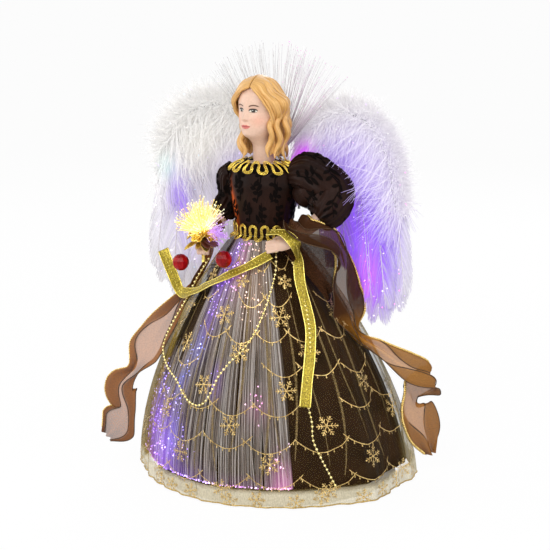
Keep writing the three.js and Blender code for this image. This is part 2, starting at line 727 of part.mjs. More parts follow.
// The wire leaves the torso at the shoulder, turns at the elbow and stops at the moulded forearm.
function armWirePoints({ shoulder, elbow, forearm }) {
  const toForearm = forearm.clone().sub(elbow).normalize();
  return [
    V(shoulder.x * 0.55, shoulder.y, shoulder.z),
    shoulder,
    elbow.clone().lerp(shoulder, 0.35).add(V(0, 0, 4)),
    elbow,
    forearm.clone().addScaledVector(toForearm, -2 * SEAT_GAP),
  ];
}
const armWire = (arm, grow = 0) => tube(armWirePoints(arm), ARM_WIRE_RADIUS + grow, 13, 6);

const NECK_FLOOR_Z = BODY_FLOOR_Z + TORSO_HEIGHT - 8;

function torsoCore() {
  const plugRadius = FORM_WAIST_RADIUS - FORM_WALL - SEAT_GAP - 0.4;
  const plug = turned(
    [
      [0, BODY_FLOOR_Z - 4],
      [plugRadius, BODY_FLOOR_Z - 4],
      [plugRadius, BODY_FLOOR_Z + 1],
      [0, BODY_FLOOR_Z + 1],
    ],
    FORM_SIDES,
  ).translate(0, TORSO_Y, 0);
  const bore = rod(V(0, TORSO_Y, 0), V(0, TORSO_Y, WAIST_Z + TRUNK_RISE + 1), TRUNK_RADIUS + 1.6, 14);
  const neckAt = (z) => V(0, TORSO_Y, NECK_FLOOR_Z + z);
  const neckSeat = rod(neckAt(0), neckAt(99), NECK_RADIUS + SEAT_GAP, 20);
  const wireHoles = [LEFT_ARM, RIGHT_ARM].map((arm) => armWire(arm, SEAT_GAP));
  return cut(join(torsoSkin(0), plug), bore, neckSeat, ...wireHoles);
}
place(topper, "torso_core", torsoCore(), MATERIALS.moulding);

function bodice() {
  const rings = (grow) => TORSO_LEVELS.map((level) => torsoRing(level, grow));
  const cloth = loft([...rings(SEAT_GAP + BODICE_CLOTH), ...rings(SEAT_GAP).reverse()], true);
  return cut(cloth, armWire(LEFT_ARM, 1.2), armWire(RIGHT_ARM, 1.2));
}
place(topper, "bodice", bodice(), MATERIALS.flock);

for (const [side, arm] of [
  ["left", LEFT_ARM],
  ["right", RIGHT_ARM],
])
  place(topper, `${side}_arm_wire`, armWire(arm), MATERIALS.steel);

// Gold scroll braid: bands with scalloped edges round the waist and on the shoulders

// A braid lying on the bodice between two heights, both shares of the torso.
function braid(lowShare, highShare, scallops) {
  const inside = SEAT_GAP + BODICE_CLOTH + SEAT_GAP;
  const sides = scallops * 2;
  const corner = (angle, share, grow) => torsoPoint(levelBetween(TORSO_LEVELS, share), grow, angle);
  return loft(
    Array.from({ length: sides }, (_, side) => {
      const angle = (side / sides) * 2 * Math.PI;
      const wave = (BRAID_SCALLOP * Math.cos(scallops * angle)) / TORSO_HEIGHT;
      const outside = inside + BRAID_THICKNESS;
      const shares = [lowShare - wave, highShare + wave];
      return [
        ...shares.map((share) => corner(angle, share, outside)),
        ...shares.reverse().map((share) => corner(angle, share, inside)),
      ];
    }),
    true,
  );
}
const WAIST_BRAID_LOW = (BRAID_SCALLOP + 0.4) / TORSO_HEIGHT;
const WAIST_BRAID_HIGH = WAIST_BRAID_LOW + (BRAID_HEIGHT - 2 * BRAID_SCALLOP) / TORSO_HEIGHT;
place(topper, "waist_braid", braid(WAIST_BRAID_LOW, WAIST_BRAID_HIGH, WAIST_SCALLOPS), MATERIALS.gold);
place(topper, "collar_braid", braid(0.895, 0.945, WAIST_SCALLOPS + 2), MATERIALS.gold);

// Head and neck, and the moulded hair

const CHIN_Z = BODY_FLOOR_Z + TORSO_HEIGHT + CHIN_RISE;
const NECK_WIDTH_SHARE = NECK_RADIUS / (HEAD_WIDTH / 2);
const NECK_DEPTH_SHARE = NECK_RADIUS / HEAD_DEPTH;
const NECK_BACK = (TORSO_Y - HEAD_Y) / HEAD_DEPTH;
const NECK_FOOT = (NECK_FLOOR_Z + SEAT_GAP - CHIN_Z) / HEAD_HEIGHT;
const NECK_CLEAR = (1 - CHIN_RISE) / HEAD_HEIGHT; // just above the seat's mouth
// Shares: height above the chin, shift back, half width, front depth and back depth
const HEAD_LEVELS = [
  [NECK_FOOT, NECK_BACK, NECK_WIDTH_SHARE, NECK_DEPTH_SHARE, NECK_DEPTH_SHARE],
  [NECK_CLEAR, NECK_BACK, NECK_WIDTH_SHARE, NECK_DEPTH_SHARE, NECK_DEPTH_SHARE],
  [-0.16, NECK_BACK * 0.67, 0.94 * NECK_WIDTH_SHARE, NECK_DEPTH_SHARE, 0.95 * NECK_DEPTH_SHARE],
  [-0.05, 0.1, 0.52, 0.588, 0.563],
  [0.02, 0, 0.6, 0.9, 0.719],
  [0.13, 0, 0.8, 0.975, 0.888],
  [0.27, 0, 0.92, 0.956, 0.963],
  [0.43, 0, 0.985, 0.925, 1],
  [0.6, 0, 1, 0.963, 1.013],
  [0.77, 0, 0.92, 0.863, 0.95],
  [0.91, 0, 0.68, 0.625, 0.813],
  [0.985, 0, 0.32, 0.288, 0.4],
];
const HEAD_SIDES = 24;
const NOSE_SHARE = 0.34;
const bump = (x, width) => Math.exp(-((x / width) ** 2));

// Ring angles crowd towards the face; nose, lips, brow and eye hollows are smooth swellings of the ring.
function headRing([share, back, widthShare, frontDepth, backDepth], grow, features) {
  return Array.from({ length: HEAD_SIDES }, (_, side) => {
    const turn = (2 * side) / HEAD_SIDES - 1;
    const fromFront = Math.sign(turn) * Math.abs(turn) ** 1.35 * Math.PI;
    const depth = HEAD_DEPTH * (Math.abs(fromFront) < Math.PI / 2 ? frontDepth : backDepth);
    const offNose = fromFront / degrees(11);
    const relief = features
      ? 3 * bump(offNose, 1) * bump(share - NOSE_SHARE, 0.09) +
        1.2 * bump(offNose, 0.9) * bump(share - 0.47, 0.1) +
        0.9 * bump(offNose, 1.5) * bump(share - 0.19, 0.04) -
        1 * bump(Math.abs(offNose) - 2.2, 1) * bump(share - 0.49, 0.07) +
        0.8 * bump(Math.abs(offNose) - 2.8, 1.5) * bump(share - 0.31, 0.12)
      : 0;
    return V(
      ((widthShare * HEAD_WIDTH) / 2 + grow) * Math.sin(fromFront),
      HEAD_Y + back * HEAD_DEPTH - (depth + grow + relief) * Math.cos(fromFront),
      CHIN_Z + share * HEAD_HEIGHT,
    );
  });
}

const NECK_SHARES = [NECK_FOOT, NECK_CLEAR, -0.16, -0.05];
const FACE_SHARES = [0.02, 0.1, 0.17, 0.23, 0.31, 0.37, 0.49];
const CROWN_SHARES = [0.6, 0.77, 0.91, 0.985];
const headRings = (shares, grow, features) =>
  shares.map((share) => headRing(levelBetween(HEAD_LEVELS, share), grow, features));
const headSkin = (grow, features) =>
  loft(headRings([...NECK_SHARES, ...FACE_SHARES, ...CROWN_SHARES], grow, features));
place(topper, "head", headSkin(0, true), MATERIALS.skin);

// Locks of hair from the parting to the collar: out, back and above the chin, as shares of the head's width,
// depth and height; a lock's radius is a share of the width
const FRONT_LOCK_RIGHT = [
  [0.07, -0.84, 0.91],
  [0.37, -0.75, 0.79],
  [0.55, -0.44, 0.52],
  [0.54, -0.19, 0.24],
  [0.57, -0.13, -0.02],
  [0.47, -0.19, -0.21],
];
const FRONT_LOCK_LEFT = [
  [-0.03, -0.85, 0.92],
  [0.34, -0.81, 0.82],
  [0.59, -0.5, 0.57],
  [0.71, -0.13, 0.38],
  [0.61, -0.06, 0.1],
  [0.51, -0.13, -0.19],
];
const SIDE_LOCK = [
  [0.44, 0.38, 0.62],
  [0.51, 0.5, 0.29],
  [0.41, 0.56, 0.02],
  [0.3, 0.5, -0.14],
];
const BACK_LOCK = [
  [0, 0.69, 0.62],
  [0.03, 0.75, 0.29],
  [-0.03, 0.72, 0.05],
  [0, 0.62, -0.12],
];
const HAIR_LOCKS = [
  { side: -1, points: FRONT_LOCK_RIGHT, radius: 0.142 },
  { side: 1, points: FRONT_LOCK_LEFT, radius: 0.169 },
  { side: -1, points: SIDE_LOCK, radius: 0.189 },
  { side: 1, points: SIDE_LOCK, radius: 0.189 },
  { side: 1, points: BACK_LOCK, radius: 0.169 },
];

function hair() {
  const cap = loft(headRings([0.24, 0.43, ...CROWN_SHARES], HAIR_THICKNESS, false)).translate(
    0,
    0,
    HAIR_THICKNESS * 0.4,
  );
  const brow = new THREE.SphereGeometry(1, 20, 12)
    .scale(HEAD_WIDTH * 0.43, HEAD_DEPTH * 0.94, HEAD_HEIGHT * 0.42)
    .translate(0, HEAD_Y - HEAD_DEPTH, CHIN_Z + HEAD_HEIGHT * 0.4);
  const locks = HAIR_LOCKS.map(({ side, points, radius }) =>
    limb(
      points.map(([out, back, up]) =>
        V(side * out * HEAD_WIDTH, HEAD_Y + back * HEAD_DEPTH, CHIN_Z + up * HEAD_HEIGHT),
      ),
      [0.7, 0.95, 1, 0.95, 0.45].map((share) => share * radius * HEAD_WIDTH),
      6,
    ),
  );
  return cut(join(cut(cap, brow), ...locks), headSkin(SEAT_GAP, true));
}
place(topper, "hair", hair(), MATERIALS.hair);

// Arms: moulded forearms with hands, and puffed sleeves over the wires

function hand({ forearm, wrist, fingers }, thumbSide) {
  const along = fingers.clone().sub(wrist).normalize();
  const across = along.clone().cross(V(0, 0, 1)).normalize();
  const up = across.clone().cross(along);
  const palmEnd = wrist.clone().lerp(fingers, 0.5);
  const arm = limb(
    [forearm, forearm.clone().lerp(wrist, 0.5), wrist],
    [0.85 * FOREARM_RADIUS, FOREARM_RADIUS, lerp(FOREARM_RADIUS, WRIST_RADIUS, 0.6), WRIST_RADIUS],
    8,
  );
  const palm = limb(
    [wrist.clone().addScaledVector(along, -2), palmEnd],
    [WRIST_RADIUS * 0.9, WRIST_RADIUS * 1.15, WRIST_RADIUS * 1.05],
    8,
  );
  const digits = [-1.5, -0.5, 0.5, 1.5].map((slot) => {
    const root = palmEnd
      .clone()
      .addScaledVector(across, slot * FINGER_RADIUS * 1.3)
      .addScaledVector(along, -1.5);
    const reach = root.clone().addScaledVector(along, 6.2 - Math.abs(slot) * 0.8);
    const curl = reach.clone().addScaledVector(along, 2.4).addScaledVector(up, -2.6);
    return limb([root, reach, curl], [1.05, 1, 0.65].map((share) => share * FINGER_RADIUS), 5);
  });
  const thumbRoot = palmEnd.clone().addScaledVector(across, thumbSide * 2.2).addScaledVector(along, -3);
  const thumb = limb(
    [thumbRoot, thumbRoot.clone().addScaledVector(across, thumbSide * 2.4).addScaledVector(along, 4)],
    [1.1, 1.1, 0.65].map((share) => share * FINGER_RADIUS),
    5,
  );
  return join(arm, palm, ...digits, thumb);
}
place(topper, "left_hand", hand(LEFT_ARM, 1), MATERIALS.skin);

// The right hand is closed round the bouquet's stem.
const GRIP = RIGHT_ARM.wrist.clone().lerp(RIGHT_ARM.fingers, 0.62).add(V(-0.5, 0, 0));
const alongStem = (rise) => GRIP.clone().add(V(0, 0, rise));
const stemSpace = rod(alongStem(-20), alongStem(20), STEM_RADIUS + SEAT_GAP, 10);
place(topper, "right_hand", cut(hand(RIGHT_ARM, -1), stemSpace), MATERIALS.skin);

// A sleeve swells from the shoulder seam and gathers above the forearm.
function sleeve(arm, fullness) {
  const { shoulder, elbow, forearm, wrist } = arm;
  const cuff = forearm.clone().lerp(wrist, 0.16);
  const route = [
    shoulder.clone().lerp(elbow, -0.05),
    shoulder.clone().lerp(elbow, 0.45).add(V(0, 0, ARM_REACH * 0.22)),
    elbow.clone().add(V(0, 0, ARM_REACH * 0.065)),
    cuff,
  ];
  const pleats = (angle, share) => 0.7 * Math.sin(Math.PI * share) * Math.cos(7 * angle);
  const puff = limb(
    route,
    [0.62, 0.92, 1.02, 1, 0.85, 0.5].map((share) => share * fullness),
    14,
    pleats,
  );
  const armSpace = limb(
    [elbow, forearm, cuff, cuff.clone().add(cuff).sub(forearm)],
    [1, 1, 1, 1].map(() => FOREARM_RADIUS + 0.6),
    10,
  );
  const bodiceSpace = SEAT_GAP + BODICE_CLOTH + SEAT_GAP;
  const collarLevels = [[0.8, ...TORSO_LEVELS.at(-3).slice(1)], ...TORSO_LEVELS.slice(-3)];
  const collarSpace = torsoSkin(bodiceSpace + BRAID_THICKNESS + 2 * SEAT_GAP, collarLevels);
  return cut(puff, torsoSkin(bodiceSpace), collarSpace, armWire(arm, SEAT_GAP), armSpace);
}
place(topper, "left_sleeve", sleeve(LEFT_ARM, SLEEVE_RADIUS), MATERIALS.flock);
place(topper, "right_sleeve", sleeve(RIGHT_ARM, RIGHT_SLEEVE_RADIUS), MATERIALS.flock);

// Halo of fibres behind the head

const HALO_CLIP_Z = BODY_FLOOR_Z + TORSO_HEIGHT + 1.6;
const HALO_Y = -2.6;

function haloFibres() {
  const clip = box(
    V(-HALO_CLIP, HALO_Y - 2, HALO_CLIP_Z),
    V(HALO_CLIP, HALO_Y + 2, HALO_CLIP_Z + HALO_CLIP),
  );
  const strands = Array.from({ length: HALO_STRANDS }, (_, i) => {
    const share = (2 * (i + 0.5)) / HALO_STRANDS - 1;
    const angle = degrees(40) * share;
    const y = HALO_Y + ((i % 3) - 1) * 1.1;
    const root = V(share * (HALO_CLIP - 0.5), y, HALO_CLIP_Z + HALO_CLIP - 0.4);
    const reach = HALO_REACH - 2 - 7 * (0.5 + 0.5 * Math.sin(i * 2.4)) - 6 * share * share;
    const tip = root.clone().add(V(reach * Math.sin(angle), 0, reach * Math.cos(angle)));
    return strand([root, tip], STRAND_RADIUS * 0.26, STRAND_RADIUS * 0.8);
  });
  return spray(clip, strands);
}
place(topper, "halo_fibres", haloFibres(), MATERIALS.fibre);

// Wings: a bracket on the back, and on each pin a wire frame with feathers and a fluffy trim

const PIN_LOW_Z = BODY_FLOOR_Z + PIN_RISE;
const PIN_HIGH_Z = PIN_LOW_Z + PIN_LENGTH;
const BRACKET_Z = PIN_LOW_Z + 3;

function wingBracket() {
  const backY = TORSO_Y + TORSO_HALF_DEPTH + SEAT_GAP + BODICE_CLOTH + SEAT_GAP;
  const plate = box(
    V(-HINGE_X - 4, backY, BRACKET_Z),
    V(HINGE_X + 4, backY + 2, BRACKET_Z + 2 * KNUCKLE_HEIGHT),
  );
  const parts = [plate];
  const holes = [];
  for (const side of [-1, 1]) {
    const axis = (z) => V(side * HINGE_X, HINGE_Y, z);
    for (const low of [BRACKET_Z, BRACKET_Z + 1.3 * KNUCKLE_HEIGHT]) {
      const high = low + 0.7 * KNUCKLE_HEIGHT;
      parts.push(rod(axis(low), axis(high), KNUCKLE_RADIUS, 10));
      parts.push(box(V(side * HINGE_X - 1.6, backY + 1, low), V(side * HINGE_X + 1.6, HINGE_Y, high)));
    }
    holes.push(rod(axis(0), axis(999), WING_WIRE_RADIUS + SEAT_GAP, 8));
  }
  return cut(join(...parts), ...holes);
}
place(topper, "wing_bracket", wingBracket(), MATERIALS.moulding);

// Shares of the wing's span: out from the pin and up from the waist.
const WING_ARCH = [
  [0.023, 0.605],
  [0.174, 0.814],
  [0.442, 0.953],
  [0.721, 0.884],
  [0.919, 0.628],
  [1, 0.256],
];
const FEATHERS = [
  { root: [0.256, 0.814], tip: [0.395, -0.233], width: 0.314 },
  { root: [0.477, 0.895], tip: [0.628, -0.465], width: 0.337 },
  { root: [0.674, 0.826], tip: [0.814, -0.64], width: 0.326 },
  { root: [0.826, 0.674], tip: [0.977, -0.535], width: 0.256 },
];
const FEATHER_LAYER = FEATHER_THICKNESS + 0.8;
const ARCH_Y = -FEATHER_THICKNESS / 2 - WING_WIRE_RADIUS - 0.7; // in front of the feathers

// A feather blade with a rounded ragged tip, on a tapered shaft; drawn hanging from its root.
function feather(length, width) {
  const half = width / 2;
  const blade = new THREE.Shape();
  blade.moveTo(-0.8, 0);
  blade.bezierCurveTo(-half, -0.1 * length, -half * 1.1, -0.55 * length, -half * 0.85, -0.86 * length);
  blade.lineTo(-half * 0.5, -0.9 * length);
  blade.quadraticCurveTo(-half * 0.3, -length, 0, -length);
  blade.quadraticCurveTo(half * 0.6, -0.99 * length, half * 0.9, -0.8 * length);
  blade.lineTo(half * 0.72, -0.72 * length);
  blade.bezierCurveTo(half * 1.1, -0.5 * length, half, -0.1 * length, 0.8, 0);
  blade.closePath();
  const options = { depth: FEATHER_THICKNESS, bevelEnabled: false, curveSegments: 4 };
  const vane = new THREE.ExtrudeGeometry(blade, options)
    .translate(0, 0, -FEATHER_THICKNESS / 2)
    .rotateX(Math.PI / 2);
  const shaft = rod(V(0, 0, 0.4), V(0, 0, -0.9 * length), 0.75, 4, 0.5);
  return join(vane, shaft);
}

function wing(side) {
  const frame = new THREE.Group();
  frame.position.set(side * HINGE_X, HINGE_Y, 0);
  frame.rotation.z = -side * WING_SWEEP;
  topper.add(frame);
  const name = side > 0 ? "left" : "right";
  const arch = WING_ARCH.map(([out, up], i) =>
    V(side * out * WING_SPAN, i ? ARCH_Y : 0, WAIST_Z + up * WING_SPAN),
  );
  const wirePoints = [V(0, 0, PIN_LOW_Z), V(0, 0, PIN_LOW_Z + PIN_LENGTH * 0.4), V(0, 0, PIN_HIGH_Z), ...arch];
  const wire = tube(wirePoints, WING_WIRE_RADIUS, 19, 6);
  place(frame, `${name}_wing_frame`, wire, MATERIALS.steel);
  FEATHERS.forEach(({ root, tip, width }, i) => {
    const [from, to] = [root, tip].map(([out, up]) =>
      new THREE.Vector2(side * out, up).multiplyScalar(WING_SPAN),
    );
    const length = from.distanceTo(to);
    const lean = Math.atan2(to.x - from.x, from.y - to.y);
    const blade = feather(length, width * WING_SPAN)
      .rotateY(-lean)
      .translate(from.x, (i % 2) * FEATHER_LAYER, WAIST_Z + from.y);
    place(frame, `${name}_feather_${i + 1}`, blade, MATERIALS.feather);
  });
  const middle = arch.slice(1).map((point) => V(point.x, 4, point.z));
  const frames = new THREE.CatmullRomCurve3(middle, false, "centripetal");
  const sizes = [0.72, 0.9, 0.98, 1, 0.96, 0.98, 0.88, 0.78, 0.45];
  const trim = loft(
    sizes.map((size, i) => {
      const share = i / (sizes.length - 1);
      const centre = frames.getPointAt(share);
      const along = frames.getTangentAt(share);
      const out = V(-along.z, 0, along.x);
      return Array.from({ length: 12 }, (_, k) => {
        const angle = (k / 12) * 2 * Math.PI;
        const tuft = 1 + 0.07 * Math.cos(5 * angle + i * 1.9);
        return centre
          .clone()
          .addScaledVector(out, FLUFF_RADIUS * size * tuft * Math.cos(angle))
          .add(V(0, FLUFF_DEPTH * size * tuft * Math.sin(angle), 0));
      });
    }),
  );
  const archCurve = new THREE.CatmullRomCurve3(arch, false, "centripetal");
  const slotLine = Array.from({ length: 13 }, (_, i) => {
    const point = archCurve.getPointAt(i / 12);
    const along = archCurve.getTangentAt(i / 12);
    return new THREE.Vector2(point.x - 2.6 * side * along.z, point.z + 2.6 * side * along.x);
  });
  const slotShape = new THREE.Shape([
    ...slotLine,
    new THREE.Vector2(slotLine.at(-1).x, WAIST_Z - WING_SPAN),
    new THREE.Vector2(0, WAIST_Z - WING_SPAN),
  ]);
  const slotFront = ARCH_Y - WING_WIRE_RADIUS - 0.6;
  const slotBack = FEATHER_LAYER + FEATHER_THICKNESS / 2 + 0.6;
  const slot = new THREE.ExtrudeGeometry(slotShape, { depth: slotBack - slotFront, bevelEnabled: false })
    .rotateX(Math.PI / 2)
    .translate(0, slotBack, 0);
  place(frame, `${name}_marabou`, cut(trim, slot), MATERIALS.fluff);
}
wing(1);
wing(-1);

// Stole: two lengths of wired organza hung on the forearms

// Route points with the way the cloth faces and its width there as a share of the cut width.
function stole(route, steps) {
  const points = through(route.map(({ at }) => at), steps);
  const facing = through(route.map(({ face }) => face), steps);
  const shares = through(route.map(({ wide }, i) => V(wide, i, 0)), steps);
  const widths = shares.map((share) => share.x * STOLE_WIDTH);
  return band(points, facing, widths, STOLE_THICKNESS);
}
const clothPoint = (angle, level, lift) => onCloth(OVERSKIRT_OUTSIDE, angle, level, lift);
const hang = (angle, level, lift, wide, turn = 0) => {
  const { point, normal } = clothPoint(angle, level, lift);
  return { at: point, face: normal.clone().applyAxisAngle(V(0, 0, 1), degrees(turn)), wide };
};

// A stop on top of a forearm, where the stole is laid across it.
function onForearm({ forearm, wrist }, share, across, wide) {
  const along = wrist.clone().sub(forearm).normalize();
  const face = along.clone().cross(across);
  if (face.z < 0) face.negate();
  const reach = FOREARM_RADIUS + 1 + STOLE_THICKNESS;
  const at = forearm.clone().lerp(wrist, share).addScaledVector(face.normalize(), reach);
  return { at, face, wide };
}
const beside = ({ at }, offset, face, wide) => ({ at: at.clone().add(offset), face, wide });

const leftStop = onForearm(LEFT_ARM, 0.64, V(0.7, -0.7, 0), 0.4);
place(
  topper,
  "stole_left",
  stole(
    [
      beside(leftStop, V(-7.5, 6, -9), V(-0.7, 0.65, 0.2), 0.24),
      beside(leftStop, V(-5, 4.5, -1.2), V(-0.5, 0.5, 0.7), 0.28),
      leftStop,
      beside(leftStop, V(9, -6, -3.5), V(0.5, -0.5, 0.7), 0.42),
      hang(-14, 0.1, 34, 0.45, -20),
      hang(0, 0.16, 24, 0.45, -13),
      hang(2, 0.24, 15, 0.6, -24),
      hang(5, 0.31, 8, 0.76, -27),
      hang(5, 0.39, 4, 0.2, -22),
      hang(15, 0.48, 9, 0.3, -38),
      hang(20, 0.59, 20, 0.55, -45),
      hang(24, 0.67, 32, 0.57, 5),
      hang(25, 0.69, 15, 0.75, 125),
      hang(21, 0.74, 14, 0.8, 136),
      hang(22, 0.86, 16, 0.65, 127),
      hang(23, 0.94, 17, 0.2, 124),
    ],
    3,
  ),
  MATERIALS.organza,
);
const rightStop = onForearm(RIGHT_ARM, 0.52, V(-0.9, -0.45, 0), 0.3);
place(
  topper,
  "stole_right",
  stole(
    [
      beside(rightStop, V(6, 2.5, -4.5), V(0.8, 0.3, 0.5), 0.25),
      rightStop,
      beside(rightStop, V(-8.5, 1, -3.5), V(-0.8, -0.2, 0.6), 0.28),
      hang(-174, 0.13, 9, 0.3, 10),
      hang(-167, 0.24, 6, 0.3, 25),
      hang(-159, 0.34, 8, 0.36, 60),
      hang(-155, 0.45, 14, 0.6, 52),
      hang(-152, 0.53, 18, 0.74, 45),
      hang(-152, 0.61, 20, 0.27, 46),
      hang(-153, 0.68, 26, 0.6, 60),
      hang(-149, 0.76, 21, 0.55, 40),
      hang(-150, 0.82, 24, 0.77, 57),
      hang(-151, 0.87, 31, 0.25, 60),
    ],
    3,
  ),
  MATERIALS.organza,
);

// Gold ribbon: two lengths from the left hand

const handTop = LEFT_ARM.wrist.clone().lerp(LEFT_ARM.fingers, 0.6);
function ribbon(stops, steps) {
  const points = through(stops.map(({ at }) => at), steps);
  const facing = through(stops.map(({ face }) => face), steps);
  return band(points, facing, points.map(() => RIBBON_WIDTH), RIBBON_THICKNESS);
}
place(
  topper,
  "ribbon_fall",
  ribbon(
    [
      { at: handTop.clone().add(V(-1, 1, 6)), face: V(0, -0.1, 1) },
      { at: handTop.clone().add(V(6, -4.5, 5.4)), face: V(0.45, -0.5, 0.8) },
      { at: handTop.clone().add(V(9.5, -7, -1)), face: V(0.5, -0.85, 0.2) },
      hang(-33, 0.1, 9, 1),
      hang(-31, 0.17, 6, 1),
      hang(-31, 0.26, 5.5, 1),
      hang(-32.5, 0.335, 5.5, 1),
      hang(-37.6, 0.43, 5.5, 1),
      hang(-42, 0.52, 5.5, 1),
      hang(-45, 0.61, 5.5, 1),
    ],
    3,
  ),
  MATERIALS.goldRibbon,
);
place(
  topper,
  "ribbon_swag",
  ribbon(
    [
      hang(-53, 0.062, 1.1, 1),
      hang(-76, 0.1, 0.9, 1),
      hang(-100, 0.145, 0.9, 1),
      hang(-124, 0.2, 1.4, 1),
      hang(-137, 0.235, 4, 1, 15),
      { at: RIGHT_ARM.wrist.clone().add(V(-21, 0, -37)), face: V(-0.2, -0.95, 0.2) },
      { at: RIGHT_ARM.wrist.clone().add(V(-27, 1, -28)), face: V(0.2, -0.95, 0.2) },
      { at: RIGHT_ARM.wrist.clone().add(V(-37, 3, -10)), face: V(0.3, -0.95, 0.2) },
    ],
    4,
  ),
  MATERIALS.goldRibbon,
);

// Bead strings: one tube that swells into a bead at every pitch
function beadString(stops) {
  const curve = new THREE.CatmullRomCurve3(stops, false, "centripetal");
  const beads = Math.floor(curve.getLength() / BEAD_PITCH);
  const rings = 2 * beads + 1;
  const sides = 4;
  const frames = curve.computeFrenetFrames(rings - 1);
  return loft(
    Array.from({ length: rings }, (_, i) => {
      const at = curve.getPointAt(i / (rings - 1));
      const radius = i % 2 ? BEAD_RADIUS : STRING_RADIUS;
      return Array.from({ length: sides }, (_, side) => {
        const angle = (side / sides) * 2 * Math.PI;
        return at
          .clone()
          .addScaledVector(frames.normals[i], radius * Math.cos(angle))
          .addScaledVector(frames.binormals[i], radius * Math.sin(angle));
      });
    }),
  );
}
// Stops lie on the cloth, some held a little farther off it.
const beadStop = ([angle, level, off = 0]) => clothPoint(angle, level, BEAD_RADIUS + 0.9 + off).point;
place(
  topper,
  "bead_swag",
  beadString(
    [
      [-159, 0.13],
      [-153, 0.2],
      [-149, 0.27, 0.4],
      [-144, 0.34, 4.5],
      [-143, 0.39, 5.6],
      [-145, 0.45, 5.6],
      [-140, 0.48, 5.6],
      [-133, 0.51, 3.6],
      [-127, 0.53, 2.6],
      [-117, 0.56, 1],
      [-110, 0.6],
      [-105, 0.62],
      [-99, 0.627],
      [-95, 0.61],
      [-92, 0.57],
      [-89, 0.51],
      [-83, 0.45],
      [-77, 0.41],
      [-69, 0.34],
      [-63, 0.27],
      [-58, 0.21],
      [-54, 0.12],
    ].map(beadStop),
  ),
  MATERIALS.gold,
);
place(
  topper,
  "bead_fall",
  beadString(
    [
      [-41, 0.1],
      [-43.4, 0.32],
      [-45, 0.48],
      [-44.3, 0.535],
      [-43, 0.59],
      [-42.5, 0.666],
      [-43, 0.733],
      [-40.7, 0.8],
      [-38, 0.86],
      [-35.6, 0.91],
    ].map(beadStop),
  ),
  MATERIALS.gold,
);

// Bouquet in the right hand: wired stem with a foil cup, flowers, leaves, berries and a lit spray

const CUP_Z = GRIP.z + 6.5;
const BERRIES = [GRIP.clone().add(V(-15.5, -4.5, -12)), GRIP.clone().add(V(21.5, -9, -5.5))];
const CUP_PROFILE = [
  [0, -14],
  [STEM_RADIUS, -14],
  [STEM_RADIUS, -1],
  [CUP_RADIUS - 1, CUP_RADIUS - 2],
  [CUP_RADIUS, CUP_RADIUS + 1],
  [CUP_RADIUS - 1, CUP_RADIUS + 1],
  [CUP_RADIUS - 2.4, CUP_RADIUS - 1.6],
  [0, CUP_RADIUS - 2.6],
];

function bouquetStem() {
  const cup = turned(CUP_PROFILE, 10).translate(GRIP.x, GRIP.y, CUP_Z);
  const wires = BERRIES.map((berry) => {
    const root = V(GRIP.x, GRIP.y, CUP_Z - 12.5);
    const away = berry.clone().sub(root).normalize();
    return rod(root, berry.clone().addScaledVector(away, -BERRY_RADIUS - SEAT_GAP), 0.6, 6);
  });
  return join(cup, ...wires);
}
place(topper, "bouquet_stem", bouquetStem(), MATERIALS.gold);

BERRIES.forEach((berry, i) =>
  place(
    topper,
    `berry_${i + 1}`,
    new THREE.IcosahedronGeometry(BERRY_RADIUS, 1).translate(berry.x, berry.y, berry.z),
    MATERIALS.berry,
  ),
);

const SPRAY_AXIS = V(-0.36, -0.42, 0.83).normalize();

function bouquetFibres() {
  const root = V(GRIP.x, GRIP.y, CUP_Z + CUP_RADIUS + 2.8);
  const side = SPRAY_AXIS.clone().cross(V(0, 0, 1)).normalize();
  const up = side.clone().cross(SPRAY_AXIS);
  const clip = rod(root.clone().addScaledVector(SPRAY_AXIS, -2.2), root, 2.6, 14);
  const golden = Math.PI * (3 - Math.sqrt(5));
  const strands = Array.from({ length: BOUQUET_STRANDS }, (_, i) => {
    const share = Math.sqrt((i + 0.5) / BOUQUET_STRANDS);
    const turn = i * golden;
    const lean = degrees(48) * share;
    const out = side.clone().multiplyScalar(Math.cos(turn)).addScaledVector(up, Math.sin(turn));
    const start = root.clone().addScaledVector(out, 2.1 * share).addScaledVector(SPRAY_AXIS, -0.7);
    const way = SPRAY_AXIS.clone().multiplyScalar(Math.cos(lean)).addScaledVector(out, Math.sin(lean));
    const reach = SPRAY_REACH * (0.86 + 0.14 * Math.sin(i * 1.7));
    return strand([start, start.clone().addScaledVector(way, reach)], STRAND_RADIUS / 3, STRAND_RADIUS);
  });
  return spray(clip, strands);
}
place(topper, "bouquet_fibres", bouquetFibres(), MATERIALS.glowFibre);

// A five-petalled foil flower facing along an axis.
function flower(centre, facing, radius) {
  const petals = new THREE.Shape();
  const steps = 15;
  for (let i = 0; i < steps; i++) {
    const angle = (i / steps) * 2 * Math.PI;
    const reach = radius * (0.66 + 0.34 * Math.cos(5 * angle));
    petals[i ? "lineTo" : "moveTo"](reach * Math.cos(angle), reach * Math.sin(angle));
  }
  const disc = new THREE.ExtrudeGeometry(petals, { depth: 0.8, bevelEnabled: false });
  const heart = new THREE.SphereGeometry(radius * 0.3, 8, 4).translate(0, 0, 0.8);
  const turn = new THREE.Quaternion().setFromUnitVectors(V(0, 0, 1), facing.clone().normalize());
  return join(disc, heart).applyQuaternion(turn).translate(centre.x, centre.y, centre.z);
}
const cupSide = (angle, z, reach) =>
  V(GRIP.x + reach * Math.cos(degrees(angle)), GRIP.y + reach * Math.sin(degrees(angle)), CUP_Z + z);
[-150, -85, -20].forEach((angle, i) => {
  const facing = V(Math.cos(degrees(angle)), Math.sin(degrees(angle)), 0.12);
  const centre = cupSide(angle, 2.2, CUP_RADIUS + 0.8);
  place(topper, `flower_${i + 1}`, flower(centre, facing, CUP_RADIUS), MATERIALS.gold);
});

